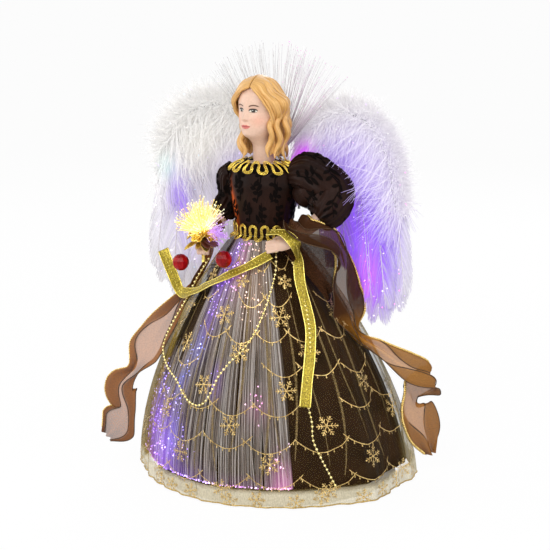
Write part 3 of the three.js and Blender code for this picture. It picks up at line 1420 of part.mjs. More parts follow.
// A foil leaf pointing down and out from under the cup.
function leaf(angle) {
  const from = cupSide(angle, -2, STEM_RADIUS + 0.9);
  const to = cupSide(angle, -2 - LEAF_LENGTH * 0.5, STEM_RADIUS + 0.9 + LEAF_LENGTH);
  const normal = V(-Math.cos(degrees(angle)) * 0.4, -Math.sin(degrees(angle)) * 0.4, 1);
  const shares = [0, 0.2, 0.45, 0.7, 0.9, 1];
  const points = shares.map((share) => from.clone().lerp(to, share));
  const widths = [0.08, 0.35, 0.46, 0.35, 0.15, 0.05].map((share) => share * LEAF_LENGTH);
  return band(points, points.map(() => normal), widths, 0.6);
}
[-115, -50].forEach((angle, i) => place(topper, `leaf_${i + 1}`, leaf(angle), MATERIALS.gold));

export default topper;
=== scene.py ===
import math

import bpy
import numpy as np
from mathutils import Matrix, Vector


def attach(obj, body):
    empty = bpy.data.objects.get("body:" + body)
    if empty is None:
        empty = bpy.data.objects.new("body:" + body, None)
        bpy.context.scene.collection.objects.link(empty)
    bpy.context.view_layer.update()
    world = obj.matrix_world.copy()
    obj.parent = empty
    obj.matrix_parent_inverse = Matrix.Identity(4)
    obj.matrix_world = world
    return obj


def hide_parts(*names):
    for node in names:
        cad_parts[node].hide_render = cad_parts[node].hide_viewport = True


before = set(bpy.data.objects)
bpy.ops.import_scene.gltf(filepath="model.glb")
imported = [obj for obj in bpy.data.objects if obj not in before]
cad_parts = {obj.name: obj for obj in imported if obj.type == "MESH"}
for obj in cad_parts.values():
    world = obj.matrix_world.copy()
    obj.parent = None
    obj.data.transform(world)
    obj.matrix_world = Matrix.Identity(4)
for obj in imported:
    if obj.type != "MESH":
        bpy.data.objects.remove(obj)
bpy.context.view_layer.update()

MM = 0.001  # lengths below are millimetres unless they say otherwise
TURN = 2 * np.pi
rng = np.random.default_rng(11)


# Numbers and curves
def vec(*v):
    return np.array(v, float)


def unit(v):
    return v / np.maximum(np.linalg.norm(v, axis=-1, keepdims=True), 1e-9)


def ease(x, low, high):
    t = np.clip((x - low) / (high - low), 0, 1)
    return t * t * (3 - 2 * t)


def hump(x, width):
    return np.exp(-((x / width) ** 2))


def spread(*values):
    """Coordinates stacked into points."""
    return np.stack(np.broadcast_arrays(*values), -1)


def spline(points, count, *others):
    """Even samples of a centripetal curve through points, and of what changes along it."""
    p = np.asarray(points, float)
    cols = [p] + [np.asarray(o, float).reshape(len(p), -1) for o in others]
    w = np.hstack(cols)
    w = np.vstack([2 * w[:1] - w[1:2], w, 2 * w[-1:] - w[-2:-1]])
    steps = np.linalg.norm(np.diff(w[:, :3], axis=0), axis=1)
    k = np.concatenate([[0], np.cumsum(np.maximum(steps, 1e-6) ** 0.5)])
    out = []
    for i in range(1, len(p)):
        a, b, c, d = k[i - 1 : i + 3]
        t = np.linspace(b, c, 24, endpoint=i == len(p) - 1)[:, None]
        x = (b - t) / (b - a) * w[i - 1] + (t - a) / (b - a) * w[i]
        y = (c - t) / (c - b) * w[i] + (t - b) / (c - b) * w[i + 1]
        z = (d - t) / (d - c) * w[i + 1] + (t - c) / (d - c) * w[i + 2]
        x = (c - t) / (c - a) * x + (t - a) / (c - a) * y
        y = (d - t) / (d - b) * y + (t - b) / (d - b) * z
        out.append((c - t) / (c - b) * x + (t - b) / (c - b) * y)
    w = np.vstack(out)
    along = np.concatenate([[0], np.cumsum(np.linalg.norm(np.diff(w[:, :3], axis=0), axis=1))])
    at = np.linspace(0, along[-1], count)
    w = np.stack([np.interp(at, along, w[:, j]) for j in range(w.shape[1])], axis=1)
    if not others:
        return w
    return np.split(w, np.cumsum([c.shape[1] for c in cols])[:-1], axis=1)


def long(path):
    return float(np.linalg.norm(np.diff(path, axis=0), axis=1).sum())


def frames(path, first=None):
    """Tangents and two cross directions carried along a path."""
    tangent = unit(np.gradient(path, axis=0))
    if first is None:
        first = np.eye(3)[np.argmin(np.abs(tangent[0]))]
    side = np.zeros_like(path)
    now = np.asarray(first, float)
    for i, t in enumerate(tangent):
        now = unit(now - t * (now @ t))
        side[i] = now
    return tangent, side, np.cross(tangent, side)


def facing(path, face):
    """Face directions squared to a path, and the directions across it."""
    tangent = unit(np.gradient(path, axis=0))
    face = unit(face - tangent * (face * tangent).sum(1, keepdims=True))
    return face, np.cross(tangent, face)


# Shapes and pieces
class Shape:
    """Points, faces and what is painted on them."""

    def __init__(self, points, faces, **marks):
        self.points = np.asarray(points, float).reshape(-1, 3)
        faces = faces if isinstance(faces, list) else [faces]
        self.faces = [np.asarray(f, int) for f in faces]
        n = len(self.points)
        self.marks = {}
        for key, value in marks.items():
            value = np.asarray(value, float)
            value = value.reshape(-1, value.shape[-1])
            self.marks[key] = np.broadcast_to(value, (n, value.shape[-1]))


def joined(shapes):
    at, faces = 0, []
    for s in shapes:
        faces += [f + at for f in s.faces]
        at += len(s.points)
    marks = {k: np.vstack([s.marks[k] for s in shapes]) for k in shapes[0].marks}
    return Shape(np.vstack([s.points for s in shapes]), faces, **marks)


def coloured(shape, paint, glow=(0, 0, 0)):
    """A shape with colour painted on it and the light it gives."""
    return Shape(shape.points, shape.faces, uv=shape.marks["uv"], paint=paint, glow=glow)


def plain(shape):
    return Shape(shape.points, shape.faces)


def grid_faces(rows, cols, wrap=False):
    i = np.arange(rows - 1)[:, None] * cols
    j = np.arange(cols if wrap else cols - 1)[None, :]
    k = (j + 1) % cols
    return np.stack([i + j, i + k, i + cols + k, i + cols + j], -1).reshape(-1, 4)


def grid(points, wrap=False, **marks):
    rows, cols = points.shape[:2]
    along, across = np.meshgrid(np.linspace(0, 1, rows), np.linspace(0, 1, cols), indexing="ij")
    marks.setdefault("uv", np.stack([along, across], -1).reshape(-1, 2))
    return Shape(points, grid_faces(rows, cols, wrap), **marks)


def tube(path, radius, sides=10, squash=1.0, first=None, groove=0.0, lines=5):
    """A closed tube along a path; squash flattens it, groove cuts lines along it."""
    n = len(path)
    radius = np.broadcast_to(np.asarray(radius, float), n)
    _, a, b = frames(path, first)
    turn = np.arange(sides) * TURN / sides
    r = radius[:, None] * (1 + groove * np.cos(lines * turn))[None, :]
    way = a[:, None] * np.cos(turn)[None, :, None] + squash * b[:, None] * np.sin(turn)[None, :, None]
    ring = path[:, None] + r[..., None] * way
    points = np.vstack([ring.reshape(-1, 3), path[:1], path[-1:]])
    j = np.arange(sides)
    k = (j + 1) % sides
    last = (n - 1) * sides
    start_cap = np.stack([k, j, np.full(sides, n * sides)], -1)
    end_cap = np.stack([last + j, last + k, np.full(sides, n * sides + 1)], -1)
    uv = np.stack([np.repeat(np.linspace(0, 1, n), sides), np.tile(j / sides, n)], -1)
    uv = np.vstack([uv, [[0, 0.5], [1, 0.5]]])
    return Shape(points, [grid_faces(n, sides, True)[:, ::-1], np.vstack([start_cap, end_cap])], uv=uv)


def per_point(values, strands, n, each):
    """A colour for each strand, or for each strand and place along it, for every point."""
    values = np.asarray(values, float)
    if values.ndim == 1:
        values = np.broadcast_to(values, (strands, 3))
    if values.ndim == 2:
        values = np.broadcast_to(values[:, None], (strands, n, 3))
    return np.repeat(values.reshape(-1, 3), each, axis=0)


def strand_shape(points, faces, strands, n, each, paint, glow):
    """Strands of n places each with their colours; faces are those of the first strand."""
    faces = (faces[None] + (np.arange(strands) * n * each)[:, None, None]).reshape(-1, 4)
    uv = spread(np.linspace(0, 1, n)[None, :], rng.random((strands, 1)))
    return Shape(
        points,
        faces,
        uv=np.repeat(uv.reshape(-1, 2), each, axis=0),
        paint=per_point(paint, strands, n, each),
        glow=per_point(glow, strands, n, each),
    )


def hairs(paths, radius, paint, glow, sides=3):
    """Many fine round strands of one count of points."""
    s, n, _ = paths.shape
    t = unit(np.gradient(paths, axis=1))
    a = unit(np.cross(t, unit(rng.normal(size=(s, 1, 3)))))
    b = np.cross(t, a)
    turn = np.arange(sides) * TURN / sides
    r = np.broadcast_to(np.asarray(radius, float), (s, n))[..., None, None]
    way = a[:, :, None] * np.cos(turn)[:, None] + b[:, :, None] * np.sin(turn)[:, None]
    faces = grid_faces(n, sides, True)[:, ::-1]
    return strand_shape(paths[:, :, None] + r * way, faces, s, n, sides, paint, glow)


def strips(paths, width, face, paint, glow):
    """Many narrow flat strands."""
    s, n, _ = paths.shape
    t = unit(np.gradient(paths, axis=1))
    side = unit(np.cross(t, np.broadcast_to(face.reshape(-1, 1, 3), (s, n, 3))))
    w = np.broadcast_to(np.asarray(width, float), (s, n))[..., None] / 2
    points = np.stack([paths - side * w, paths + side * w], 2)
    return strand_shape(points, grid_faces(n, 2), s, n, 2, paint, glow)


def balls(centres, radius, rings=5, sides=8, paint=None, glow=None):
    """Many round beads."""
    lat = np.linspace(-np.pi / 2, np.pi / 2, rings + 2)[1:-1, None]
    lon = np.arange(sides) * TURN / sides
    ball = spread(np.cos(lat) * np.cos(lon), np.cos(lat) * np.sin(lon), np.sin(lat)).reshape(-1, 3)
    ball = np.vstack([ball, [[0, 0, -1], [0, 0, 1]]])
    n, s = len(ball), len(centres)
    radius = np.broadcast_to(np.asarray(radius, float), s)
    points = centres[:, None] + ball[None] * radius[:, None, None]
    j = np.arange(sides)
    k = (j + 1) % sides
    low = np.stack([k, j, np.full(sides, n - 2)], -1)
    top = np.stack([j, k, np.full(sides, n - 1)], -1) + ([(rings - 1) * sides] * 2 + [0])
    add = (np.arange(s) * n)[:, None, None]
    quads = (grid_faces(rings, sides, True)[None] + add).reshape(-1, 4)
    tris = (np.vstack([low, top])[None] + add).reshape(-1, 3)
    marks = {}
    if paint is not None:
        marks["paint"] = per_point(paint, s, 1, n)
        marks["glow"] = per_point(glow, s, 1, n)
    return Shape(points, [quads, tris], **marks)


def piece(name, shape, look, replaces=(), body="topper", smooth=True):
    """One visible piece from a shape, riding on its body."""
    mesh = bpy.data.meshes.new(name)
    mesh.vertices.add(len(shape.points))
    mesh.vertices.foreach_set("co", (shape.points * MM).astype(np.float32).ravel())
    loops = np.concatenate([f.ravel() for f in shape.faces]).astype(np.int32)
    sizes = np.concatenate([np.full(len(f), f.shape[1]) for f in shape.faces])
    mesh.loops.add(len(loops))
    mesh.loops.foreach_set("vertex_index", loops)
    mesh.polygons.add(len(sizes))
    starts = np.concatenate([[0], np.cumsum(sizes)[:-1]]).astype(np.int32)
    mesh.polygons.foreach_set("loop_start", starts)
    mesh.polygons.foreach_set("use_smooth", np.full(len(sizes), smooth))
    mesh.update(calc_edges=True)
    for key, value in shape.marks.items():
        if key == "uv":
            layer = mesh.uv_layers.new(name="UVMap")
            layer.data.foreach_set("uv", value[loops].astype(np.float32).ravel())
        else:
            attr = mesh.color_attributes.new(key, "FLOAT_COLOR", "POINT")
            colour = np.hstack([value, np.ones((len(value), 1))]).astype(np.float32)
            attr.data.foreach_set("color", colour.ravel())
    mesh.materials.append(look.material)
    obj = bpy.data.objects.new(name, mesh)
    bpy.context.scene.collection.objects.link(obj)
    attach(obj, body)
    if replaces:
        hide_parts(*replaces)
    return obj


def thicken(obj, thick):
    m = obj.modifiers.new("thick", "SOLIDIFY")
    m.thickness = thick * MM
    m.offset = 0


# Materials
CLOTH_PATCH, GLITTER_ROUGH = 40, 0.35  # noise scale of mottled cloth, roughness of gold flakes


class Look:
    """A material and the nodes that give it its weave, grain and variation."""

    def __init__(self, name, **sockets):
        self.material = bpy.data.materials.new(name)
        self.material.use_nodes = True
        self.tree = self.material.node_tree
        self.shader = self.tree.nodes["Principled BSDF"]
        for key, value in sockets.items():
            self.shader.inputs[key.replace("_", " ")].default_value = value

    def node(self, kind, values=None, **props):
        n = self.tree.nodes.new("ShaderNode" + kind)
        for key, value in props.items():
            setattr(n, key, value)
        for key, value in (values or {}).items():
            if isinstance(value, bpy.types.NodeSocket):
                self.tree.links.new(value, n.inputs[key])
            else:
                n.inputs[key].default_value = value
        return n

    def use(self, key, socket):
        self.tree.links.new(socket, self.shader.inputs[key])

    def place(self, stretch, kind):
        at = self.node("TexCoord").outputs[kind]
        return self.node("Mapping", {"Vector": at, "Scale": stretch}).outputs["Vector"]

    def noise(self, scale, stretch=(1, 1, 1), kind="Object", detail=3.0):
        values = {"Vector": self.place(stretch, kind), "Scale": scale, "Detail": detail}
        return self.node("TexNoise", values).outputs["Fac"]

    def cells(self, scale):
        at = self.place((1, 1, 1), "Object")
        return self.node("TexVoronoi", {"Vector": at, "Scale": scale}).outputs["Color"]

    def ramp(self, value, *stops):
        n = self.node("ValToRGB", {"Fac": value})
        ramp = n.color_ramp.elements
        while len(ramp) < len(stops):
            ramp.new(0.5)
        for e, (at, colour) in zip(ramp, stops):
            e.position = at
            e.color = (*colour, 1)
        return n.outputs["Color"]

    def greys(self, value, low, high):
        """A number that runs from low to high with a noise value."""
        return self.ramp(value, (0.3, (low,) * 3), (0.7, (high,) * 3))

    def mix(self, blend, factor, a, b):
        n = self.node("Mix", data_type="RGBA", blend_type=blend)
        for i, v in ((0, factor), (6, a), (7, b)):
            if isinstance(v, bpy.types.NodeSocket):
                self.tree.links.new(v, n.inputs[i])
            else:
                n.inputs[i].default_value = v
        return n.outputs[2]

    def bump(self, height, strength, distance):
        values = {"Height": height, "Strength": strength, "Distance": distance * MM}
        self.use("Normal", self.node("Bump", values).outputs["Normal"])

    def mark(self, name):
        return self.node("Attribute", attribute_name=name).outputs["Color"]


def cloth(name, dark, light, weave, strength=0.35, **sockets):
    """Woven cloth; a piece may carry light painted on it."""
    look = Look(name, Emission_Strength=1.0, **sockets)
    mottled = look.ramp(look.noise(CLOTH_PATCH), (0.32, dark), (0.7, light))
    threads = look.noise(1.0, weave, detail=1.0)
    look.use("Base Color", look.mix("MULTIPLY", 0.8, mottled, look.greys(threads, 0.7, 1)))
    look.use("Emission Color", look.mark("glow"))
    look.bump(threads, strength, 0.25)
    return look


def painted(name, grain=300, depth=0.15, **sockets):
    """Colours painted on the piece, with a fine grain, and what light it gives."""
    look = Look(name, Emission_Strength=1.0, **sockets)
    fine = look.noise(grain)
    look.use("Base Color", look.mix("MULTIPLY", 0.7, look.mark("paint"), look.greys(fine, 0.85, 1)))
    look.use("Emission Color", look.mark("glow"))
    look.bump(fine, depth, 0.2)
    return look


def metal(name, dark, light, grain=900, rough=0.28, depth=0.35, metallic=0.9):
    look = Look(name, Metallic=metallic)
    fine = look.noise(grain)
    look.use("Base Color", look.ramp(fine, (0.32, dark), (0.68, light)))
    look.use("Roughness", look.greys(look.noise(grain * 0.4), rough * 0.7, rough * 1.4))
    look.bump(fine, depth, 0.2)
    return look


def plastic(name, dark, light, rough, grain=500):
    look = Look(name, Roughness=rough)
    look.use("Base Color", look.ramp(look.noise(60), (0.3, dark), (0.7, light)))
    look.bump(look.noise(grain), 0.12, 0.15)
    return look


def glitter(name, dark, light, scale, metallic):
    """Gold flakes, each one catching the light its own way."""
    look = Look(name, Metallic=metallic, Roughness=GLITTER_ROUGH)
    flakes = look.cells(scale)
    look.use("Base Color", look.ramp(flakes, (0.25, dark), (0.75, light)))
    look.bump(flakes, 0.8, 0.25)
    return look


def sheer(name, colour, deep, weave, alpha):
    """Open weave that shows what is under it."""
    look = Look(name, Roughness=0.6, Specular_IOR_Level=0.0)
    look.use("Base Color", look.ramp(look.noise(28), (0.3, deep), (0.72, colour)))
    threads = look.noise(1.0, weave, detail=1.0)
    look.use("Alpha", look.greys(threads, *alpha))
    look.bump(threads, 0.3, 0.2)
    return look


def veil(name, weave):
    """Sheer cloth with its colour and its closeness painted on."""
    look = Look(name, Roughness=0.6, Specular_IOR_Level=0.0)
    threads = look.noise(1.0, weave, detail=1.0)
    look.use("Base Color", look.mix("MULTIPLY", 0.8, look.mark("paint"), look.greys(threads, 0.7, 1)))
    look.use("Alpha", look.mix("MULTIPLY", 1.0, look.mark("veil"), look.greys(threads, 0.95, 1)))
    look.bump(threads, 0.3, 0.2)
    return look


TAFFETA = cloth("taffeta", (0.012, 0.005, 0.0022), (0.032, 0.0135, 0.006), (1600, 1600, 420),
                Roughness=0.55, Specular_IOR_Level=0.05)
SATIN = cloth("flocked_satin", (0.008, 0.0032, 0.002), (0.024, 0.0085, 0.005), (1500, 1500, 500),
              strength=0.2, Roughness=0.45, Specular_IOR_Level=0.08)
PETAL_SATIN = cloth("petal_satin", (0.07, 0.012, 0.008), (0.16, 0.04, 0.02), (1500, 1500, 500),
                    Roughness=0.35)
FLOCK = cloth("flock", (0.003, 0.002, 0.002), (0.008, 0.005, 0.004), (4000, 4000, 4000),
              strength=0.8, Roughness=0.95, Specular_IOR_Level=0.05)
SHEER = veil("sheer_overskirt", (1500, 1500, 700))
GATHER = sheer("sheer_fold", (0.3, 0.21, 0.09), (0.2, 0.14, 0.055), (1500, 1500, 700), (0.4, 0.75))
ORGANZA = veil("organza", (900, 900, 1800))
PRINT = glitter("gold_print", (0.36, 0.21, 0.05), (0.85, 0.62, 0.24), 1400, metallic=0.45)
HEM_CORD = metal("hem_cord", (0.26, 0.16, 0.04), (0.6, 0.43, 0.15), 1500, rough=0.4)
BRAID = metal("gold_braid", (0.5, 0.3, 0.02), (0.95, 0.74, 0.16), 1700, rough=0.24, depth=0.6)
EDGE = metal("twisted_edge", (0.42, 0.26, 0.05), (0.95, 0.72, 0.28), 1500, rough=0.28)
BRONZE_EDGE = metal("bronze_edge", (0.03, 0.014, 0.006), (0.11, 0.055, 0.02), 1500,
                    rough=0.45, metallic=0.5)
RIBBON = glitter("glitter_ribbon", (0.17, 0.12, 0.005), (0.5, 0.385, 0.028), 2300, metallic=0.5)
RIBBON_EDGE = metal("ribbon_edge", (0.55, 0.42, 0.06), (0.95, 0.8, 0.25), 1500, rough=0.22)
BEAD = metal("bead_gold", (0.72, 0.55, 0.17), (1.0, 0.88, 0.45), 700, rough=0.14, depth=0.1)
FOIL = metal("gold_foil", (0.5, 0.3, 0.03), (0.98, 0.78, 0.22), 420, rough=0.24, depth=0.7)
WIRE = metal("steel_wire", (0.35, 0.35, 0.36), (0.55, 0.55, 0.56), 500, rough=0.3)
SKIN = painted("painted_face", grain=700, depth=0.04, Roughness=0.42, Subsurface_Weight=0.08,
               Subsurface_Radius=(0.002, 0.001, 0.0006))
FIBRE = painted("clear_fibre", grain=500, Roughness=0.25, Specular_IOR_Level=0.3)
DOWN = painted("down", grain=700, Roughness=0.9, Specular_IOR_Level=0.1)
LIT = painted("lit_end", grain=900, Roughness=0.3)
for glowing in (LIT, DOWN):
    glowing.material.cycles.emission_sampling = "NONE"
BERRY = Look("red_glass", Roughness=0.2, Specular_IOR_Level=0.22, IOR=1.4)
RED = BERRY.ramp(BERRY.noise(180), (0.3, (0.13, 0.001, 0.002)), (0.7, (0.4, 0.004, 0.006)))
BERRY.use("Base Color", RED)
BERRY.bump(BERRY.noise(250), 0.1, 0.3)
MOULDING = plastic("grey_moulding", (0.5, 0.49, 0.47), (0.6, 0.59, 0.57), 0.5)
FORM = plastic("bell_form", (0.6, 0.57, 0.52), (0.7, 0.67, 0.62), 0.6)
BOARD = plastic("green_board", (0.01, 0.09, 0.035), (0.02, 0.15, 0.06), 0.4)
CELL = plastic("cell_wrap", (0.03, 0.05, 0.09), (0.05, 0.08, 0.14), 0.35)
SWITCH = plastic("switch_black", (0.012, 0.012, 0.013), (0.025, 0.025, 0.027), 0.45)
LEAD = plastic("lead_cover", (0.3, 0.01, 0.01), (0.42, 0.02, 0.015), 0.45)
CORE = plastic("torso_foam", (0.5, 0.42, 0.34), (0.62, 0.53, 0.44), 0.8)
TRUNK = plastic("fibre_trunk", (0.55, 0.53, 0.52), (0.75, 0.73, 0.72), 0.25, 1200)
HAND_SKIN = plastic("painted_hands", (0.66, 0.42, 0.31), (0.73, 0.49, 0.37), 0.42)
HAND_SKIN.shader.inputs["Subsurface Weight"].default_value = 0.08


def hair_look():
    """Moulded hair with fine lines along the locks."""
    look = Look("golden_hair", Roughness=0.34, Coat_Weight=0.2, Specular_IOR_Level=0.4)
    strand = look.noise(1.0, (3, 60, 1), "UV", 4.0)
    dark, mid, light = (0.36, 0.16, 0.035), (0.66, 0.36, 0.105), (0.88, 0.58, 0.25)
    look.use("Base Color", look.ramp(strand, (0.25, dark), (0.5, mid), (0.78, light)))
    look.bump(strand, 0.4, 0.4)
    return look


HAIR = hair_look()

# Camera, lamps and floor
TARGET, LAMP_TARGET = vec(-2, 0, 138), vec(0, 0, 150)
AZIMUTH, ELEVATION, DISTANCE = math.radians(30), math.radians(12), 1200
LENS, SENSOR = 113.8, 36
WORLD_LIGHT, WORLD_SEEN, FLOOR_SEEN = 0.46, 1.0, 0.95
FLOOR_HALF = 15.0  # metres
FLOOR_DROP = 0.4
BACK = vec(
    math.sin(AZIMUTH) * math.cos(ELEVATION),
    -math.cos(AZIMUTH) * math.cos(ELEVATION),
    math.sin(ELEVATION),
)


def aim(obj, place, target):
    obj.location = Vector(place * MM)
    obj.rotation_euler = Vector((target - place) * MM).to_track_quat("-Z", "Y").to_euler()


def add_camera():
    camera = bpy.data.cameras.new("camera")
    camera.sensor_width = SENSOR
    camera.lens = LENS
    camera.clip_start = 0.01
    obj = bpy.data.objects.new("camera", camera)
    bpy.context.scene.collection.objects.link(obj)
    aim(obj, TARGET + BACK * DISTANCE, TARGET)
    bpy.context.scene.camera = obj


def lamp(name, place, size, watts):
    light = bpy.data.lights.new(name, "AREA")
    light.shape = "SQUARE"
    light.size = size
    light.energy = watts
    obj = bpy.data.objects.new(name, light)
    bpy.context.scene.collection.objects.link(obj)
    aim(obj, place, LAMP_TARGET)


def seen_rays(tree):
    """One for rays from the camera, off gloss or through glass, else nothing."""
    way = tree.nodes.new("ShaderNodeLightPath")
    total = way.outputs["Is Camera Ray"]
    for kind in ("Is Glossy Ray", "Is Transmission Ray"):
        add = tree.nodes.new("ShaderNodeMath")
        add.operation = "MAXIMUM"
        tree.links.new(total, add.inputs[0])
        tree.links.new(way.outputs[kind], add.inputs[1])
        total = add.outputs["Value"]
    return total


def add_world():
    world = bpy.data.worlds.new("studio")
    bpy.context.scene.world = world
    world.use_nodes = True
    tree = world.node_tree
    seen, lit = tree.nodes["Background"], tree.nodes.new("ShaderNodeBackground")
    for node, strength in ((seen, WORLD_SEEN), (lit, WORLD_LIGHT)):
        node.inputs["Color"].default_value = (1, 1, 1, 1)
        node.inputs["Strength"].default_value = strength
    both = tree.nodes.new("ShaderNodeMixShader")
    tree.links.new(seen_rays(tree), both.inputs["Fac"])
    tree.links.new(lit.outputs[0], both.inputs[1])
    tree.links.new(seen.outputs[0], both.inputs[2])
    tree.links.new(both.outputs[0], tree.nodes["World Output"].inputs["Surface"])


def add_floor():
    look = Look("floor", Roughness=0.9)
    look.use("Base Color", look.greys(look.noise(3), 0.9, 0.93))
    white = look.node("Emission", {"Color": (1, 1, 1, 1), "Strength": 1.0})
    part = look.node("MapRange", {"Value": seen_rays(look.tree), "To Max": FLOOR_SEEN})
    both = look.node("MixShader", {"Fac": part.outputs["Result"]})
    look.tree.links.new(look.shader.outputs[0], both.inputs[1])
    look.tree.links.new(white.outputs[0], both.inputs[2])
    look.tree.links.new(both.outputs[0], look.tree.nodes["Material Output"].inputs["Surface"])
    mesh = bpy.data.meshes.new("floor")
    corners = [(x * FLOOR_HALF, y * FLOOR_HALF, 0) for x, y in ((-1, -1), (1, -1), (1, 1), (-1, 1))]
    mesh.from_pydata(corners, [], [(0, 1, 2, 3)])
    mesh.materials.append(look.material)
    floor = bpy.data.objects.new("floor", mesh)
    bpy.context.scene.collection.objects.link(floor)
    floor.location.z = -FLOOR_DROP * MM


add_camera()
lamp("key", vec(150, -1100, 900), 0.7, 9.0)
lamp("fill", vec(1100, -300, 500), 0.9, 5.0)
lamp("left", vec(-1000, -500, 500), 0.8, 4.5)
lamp("rim", vec(-300, 1000, 800), 0.8, 5.0)
add_world()
add_floor()

# The bell that all the layers follow
WAIST_Z, TORSO_Y = 171.0, -18.0
WAIST_RADIUS, FLARE, BELL_POWER = 16.0, 68.0, 1.75
FOLDS, FOLD_DEPTH = 10, 5.0
SKIRT_OFFSET, PANEL_OFFSET, SHEER_OFFSET, TRIM_OFFSET = 0.75, 1.5, 4.1, 4.5
TAFFETA_PUFF = 0.6
SKIRT_HEM_Z, SHEER_HEM_Z = 11.0, 1.0
SKIRT_HEM, SHEER_HEM = 1 - SKIRT_HEM_Z / WAIST_Z, 1 - SHEER_HEM_Z / WAIST_Z
CALM_FROM, CALM_TO, CALM_SHARE = math.radians(30), math.radians(68), 0.12
PUFF, PUFF_FROM, PUFF_TO = 9.0, math.radians(36), math.radians(64)
RUFFLES, RUFFLE, FINE_RUFFLES, FINE_RUFFLE, RUFFLE_POWER = 31, 1.4, 67, 0.6, 0.8
CALM_REST, CALM_RUFFLE = 0.9, 1.1  # these stand in for the gathers where they are smoothed out
FRONT = -np.pi / 2


def apart(angle):
    """How far an angle is from the front."""
    return np.abs(np.arctan2(np.sin(angle - FRONT), np.cos(angle - FRONT)))


def fold(angle):
    calm = ease(apart(angle), CALM_FROM, CALM_TO)
    return (CALM_SHARE + (1 - CALM_SHARE) * calm) * (0.5 - 0.5 * np.cos(FOLDS * angle))


def girth(level):
    return WAIST_RADIUS + FLARE * (1 - (1 - level) ** BELL_POWER)


def bell(offset, angle, level):
    radius = girth(level) + offset + FOLD_DEPTH * level * fold(angle)
    along = TORSO_Y * (1 - level) + radius * np.sin(angle)
    return spread(radius * np.cos(angle), along, WAIST_Z * (1 - level))


def puff(angle, level):
    """How far the sheer layer stands off beside the calm front."""
    side = ease(apart(angle), PUFF_FROM, PUFF_TO)
    return PUFF * side * level**0.6 * (1 - 0.55 * level)


def ruffle(angle, level):
    """The small gathers of the sheer layer."""
    wave = 0.5 + 0.5 * np.sin(RUFFLES * angle + 1.7 * np.sin(3 * angle + 0.6))
    fine = 0.5 + 0.5 * np.sin(FINE_RUFFLES * angle + 2.1 * np.sin(5 * angle))
    return level**RUFFLE_POWER * (RUFFLE * wave + FINE_RUFFLE * fine) + puff(angle, level)


def normals(make, angle, level):
    """Outward directions of a bell surface given as a function of angle and level."""
    step = 2e-3
    down = make(angle, np.minimum(level + step, 1)) - make(angle, np.maximum(level - step, 0))
    around = make(angle + step, level) - make(angle - step, level)
    return unit(np.cross(down, around))


def dress(angle, level):
    return bell(SHEER_OFFSET + ruffle(angle, level), angle, level)


def calm_offset(angle, level):
    """How far out the sheer layer lies with its gathers smoothed out."""
    return SHEER_OFFSET + CALM_REST + puff(angle, level) + CALM_RUFFLE * level**RUFFLE_POWER


def calm_dress(angle, level):
    return bell(calm_offset(angle, level), angle, level)


def trim_bell(angle, level):
    """The plain bell that stoles and strings are measured from."""
    return bell(TRIM_OFFSET, angle, level)


def on(make, angle, level, lift):
    angle, level = np.asarray(angle, float), np.asarray(level, float)
    return make(angle, level) + normals(make, angle, level) * np.asarray(lift)[..., None]


def hang(degrees, level, lift, wide=1.0, turn=0.0, make=trim_bell):
    """A stop on the skirt: its place, the way it faces and its share of the width."""
    angle = vec(math.radians(degrees))
    at = on(make, angle, vec(level), vec(lift))[0]
    face = normals(make, angle, vec(level))[0]
    c, s = math.cos(math.radians(turn)), math.sin(math.radians(turn))
    return at, vec(c * face[0] - s * face[1], s * face[0] + c * face[1], face[2]), wide


def tipped(stop):
    """A stop whose face is tipped up."""
    at, face, wide = stop
    return at, unit(face + vec(0, 0, TIP_RISE)), wide


def beside(start, move, face, wide=1.0):
    return start + vec(*move), unit(vec(*face)), wide


# Arms: shoulder, elbow, forearm, wrist and finger ends, and where the stoles cross them
LEFT = [
    vec(24, -18, 211.1), vec(51, -15, 199), vec(48, -24, 187), vec(33, -42, 173.6), vec(20, -48, 170.7),
]
RIGHT = [
    vec(-24, -18, 211.1), vec(-29, -15, 189.1), vec(-30, -24, 182.1), vec(-34, -38, 165.1),
    vec(-29, -50, 162.1),
]
LEFT_STOP, LEFT_STOP_FACE = vec(36, -37.9, 184.4), vec(-0.353, -0.353, 0.867)
RIGHT_STOP, RIGHT_STOP_FACE = vec(-29.5, -36.4, 176.9), vec(0.378, -0.757, 0.533)
HAND_TOP = vec(25.2, -45.6, 171.8)

# Ribbons
RIBBON_WIDTH, RIBBON_THICK, RIBBON_EDGE_RADIUS, RIBBON_DOT = 7.0, 0.35, 0.42, 0.5
RIBBON_STEPS, RIBBON_RIPPLE, RIBBON_CROWN, DOT_LIFT, TIP_RISE = 150, 0.25, 0.12, 0.4, 0.7
# Angle, level and standing-off of the swag's stops on the skirt
SWAG_PLACES = ((-53, 0.062, 2.3), (-76, 0.1, 2.2), (-100, 0.145, 2.2), (-124, 0.2, 2.4))


def ribbon(name, stops, node):
    at, face, _ = zip(*stops)
    path, face = spline(at, RIBBON_STEPS, face)
    face, across = facing(path, face)
    v = np.linspace(-1, 1, 9)
    ripple = RIBBON_RIPPLE * np.sin(np.linspace(0, 30, RIBBON_STEPS))[:, None] * v[None, :]
    top = path[:, None] + across[:, None] * (RIBBON_WIDTH / 2 * v)[None, :, None]
    top = top + face[:, None] * (ripple + RIBBON_CROWN * (1 - v[None, :] ** 2))[..., None]
    obj = piece(name, grid(top), RIBBON, (node,))
    thicken(obj, RIBBON_THICK)
    sides = [tube(top[:, k] + face * 0.1, RIBBON_EDGE_RADIUS, 6) for k in (0, -1)]
    edge = piece(name + "_edges", joined(sides), RIBBON_EDGE)
    dots = path[2:-2:3] + face[2:-2:3] * DOT_LIFT
    row = piece(name + "_dots", balls(dots, RIBBON_DOT, 3, 6), RIBBON_EDGE)


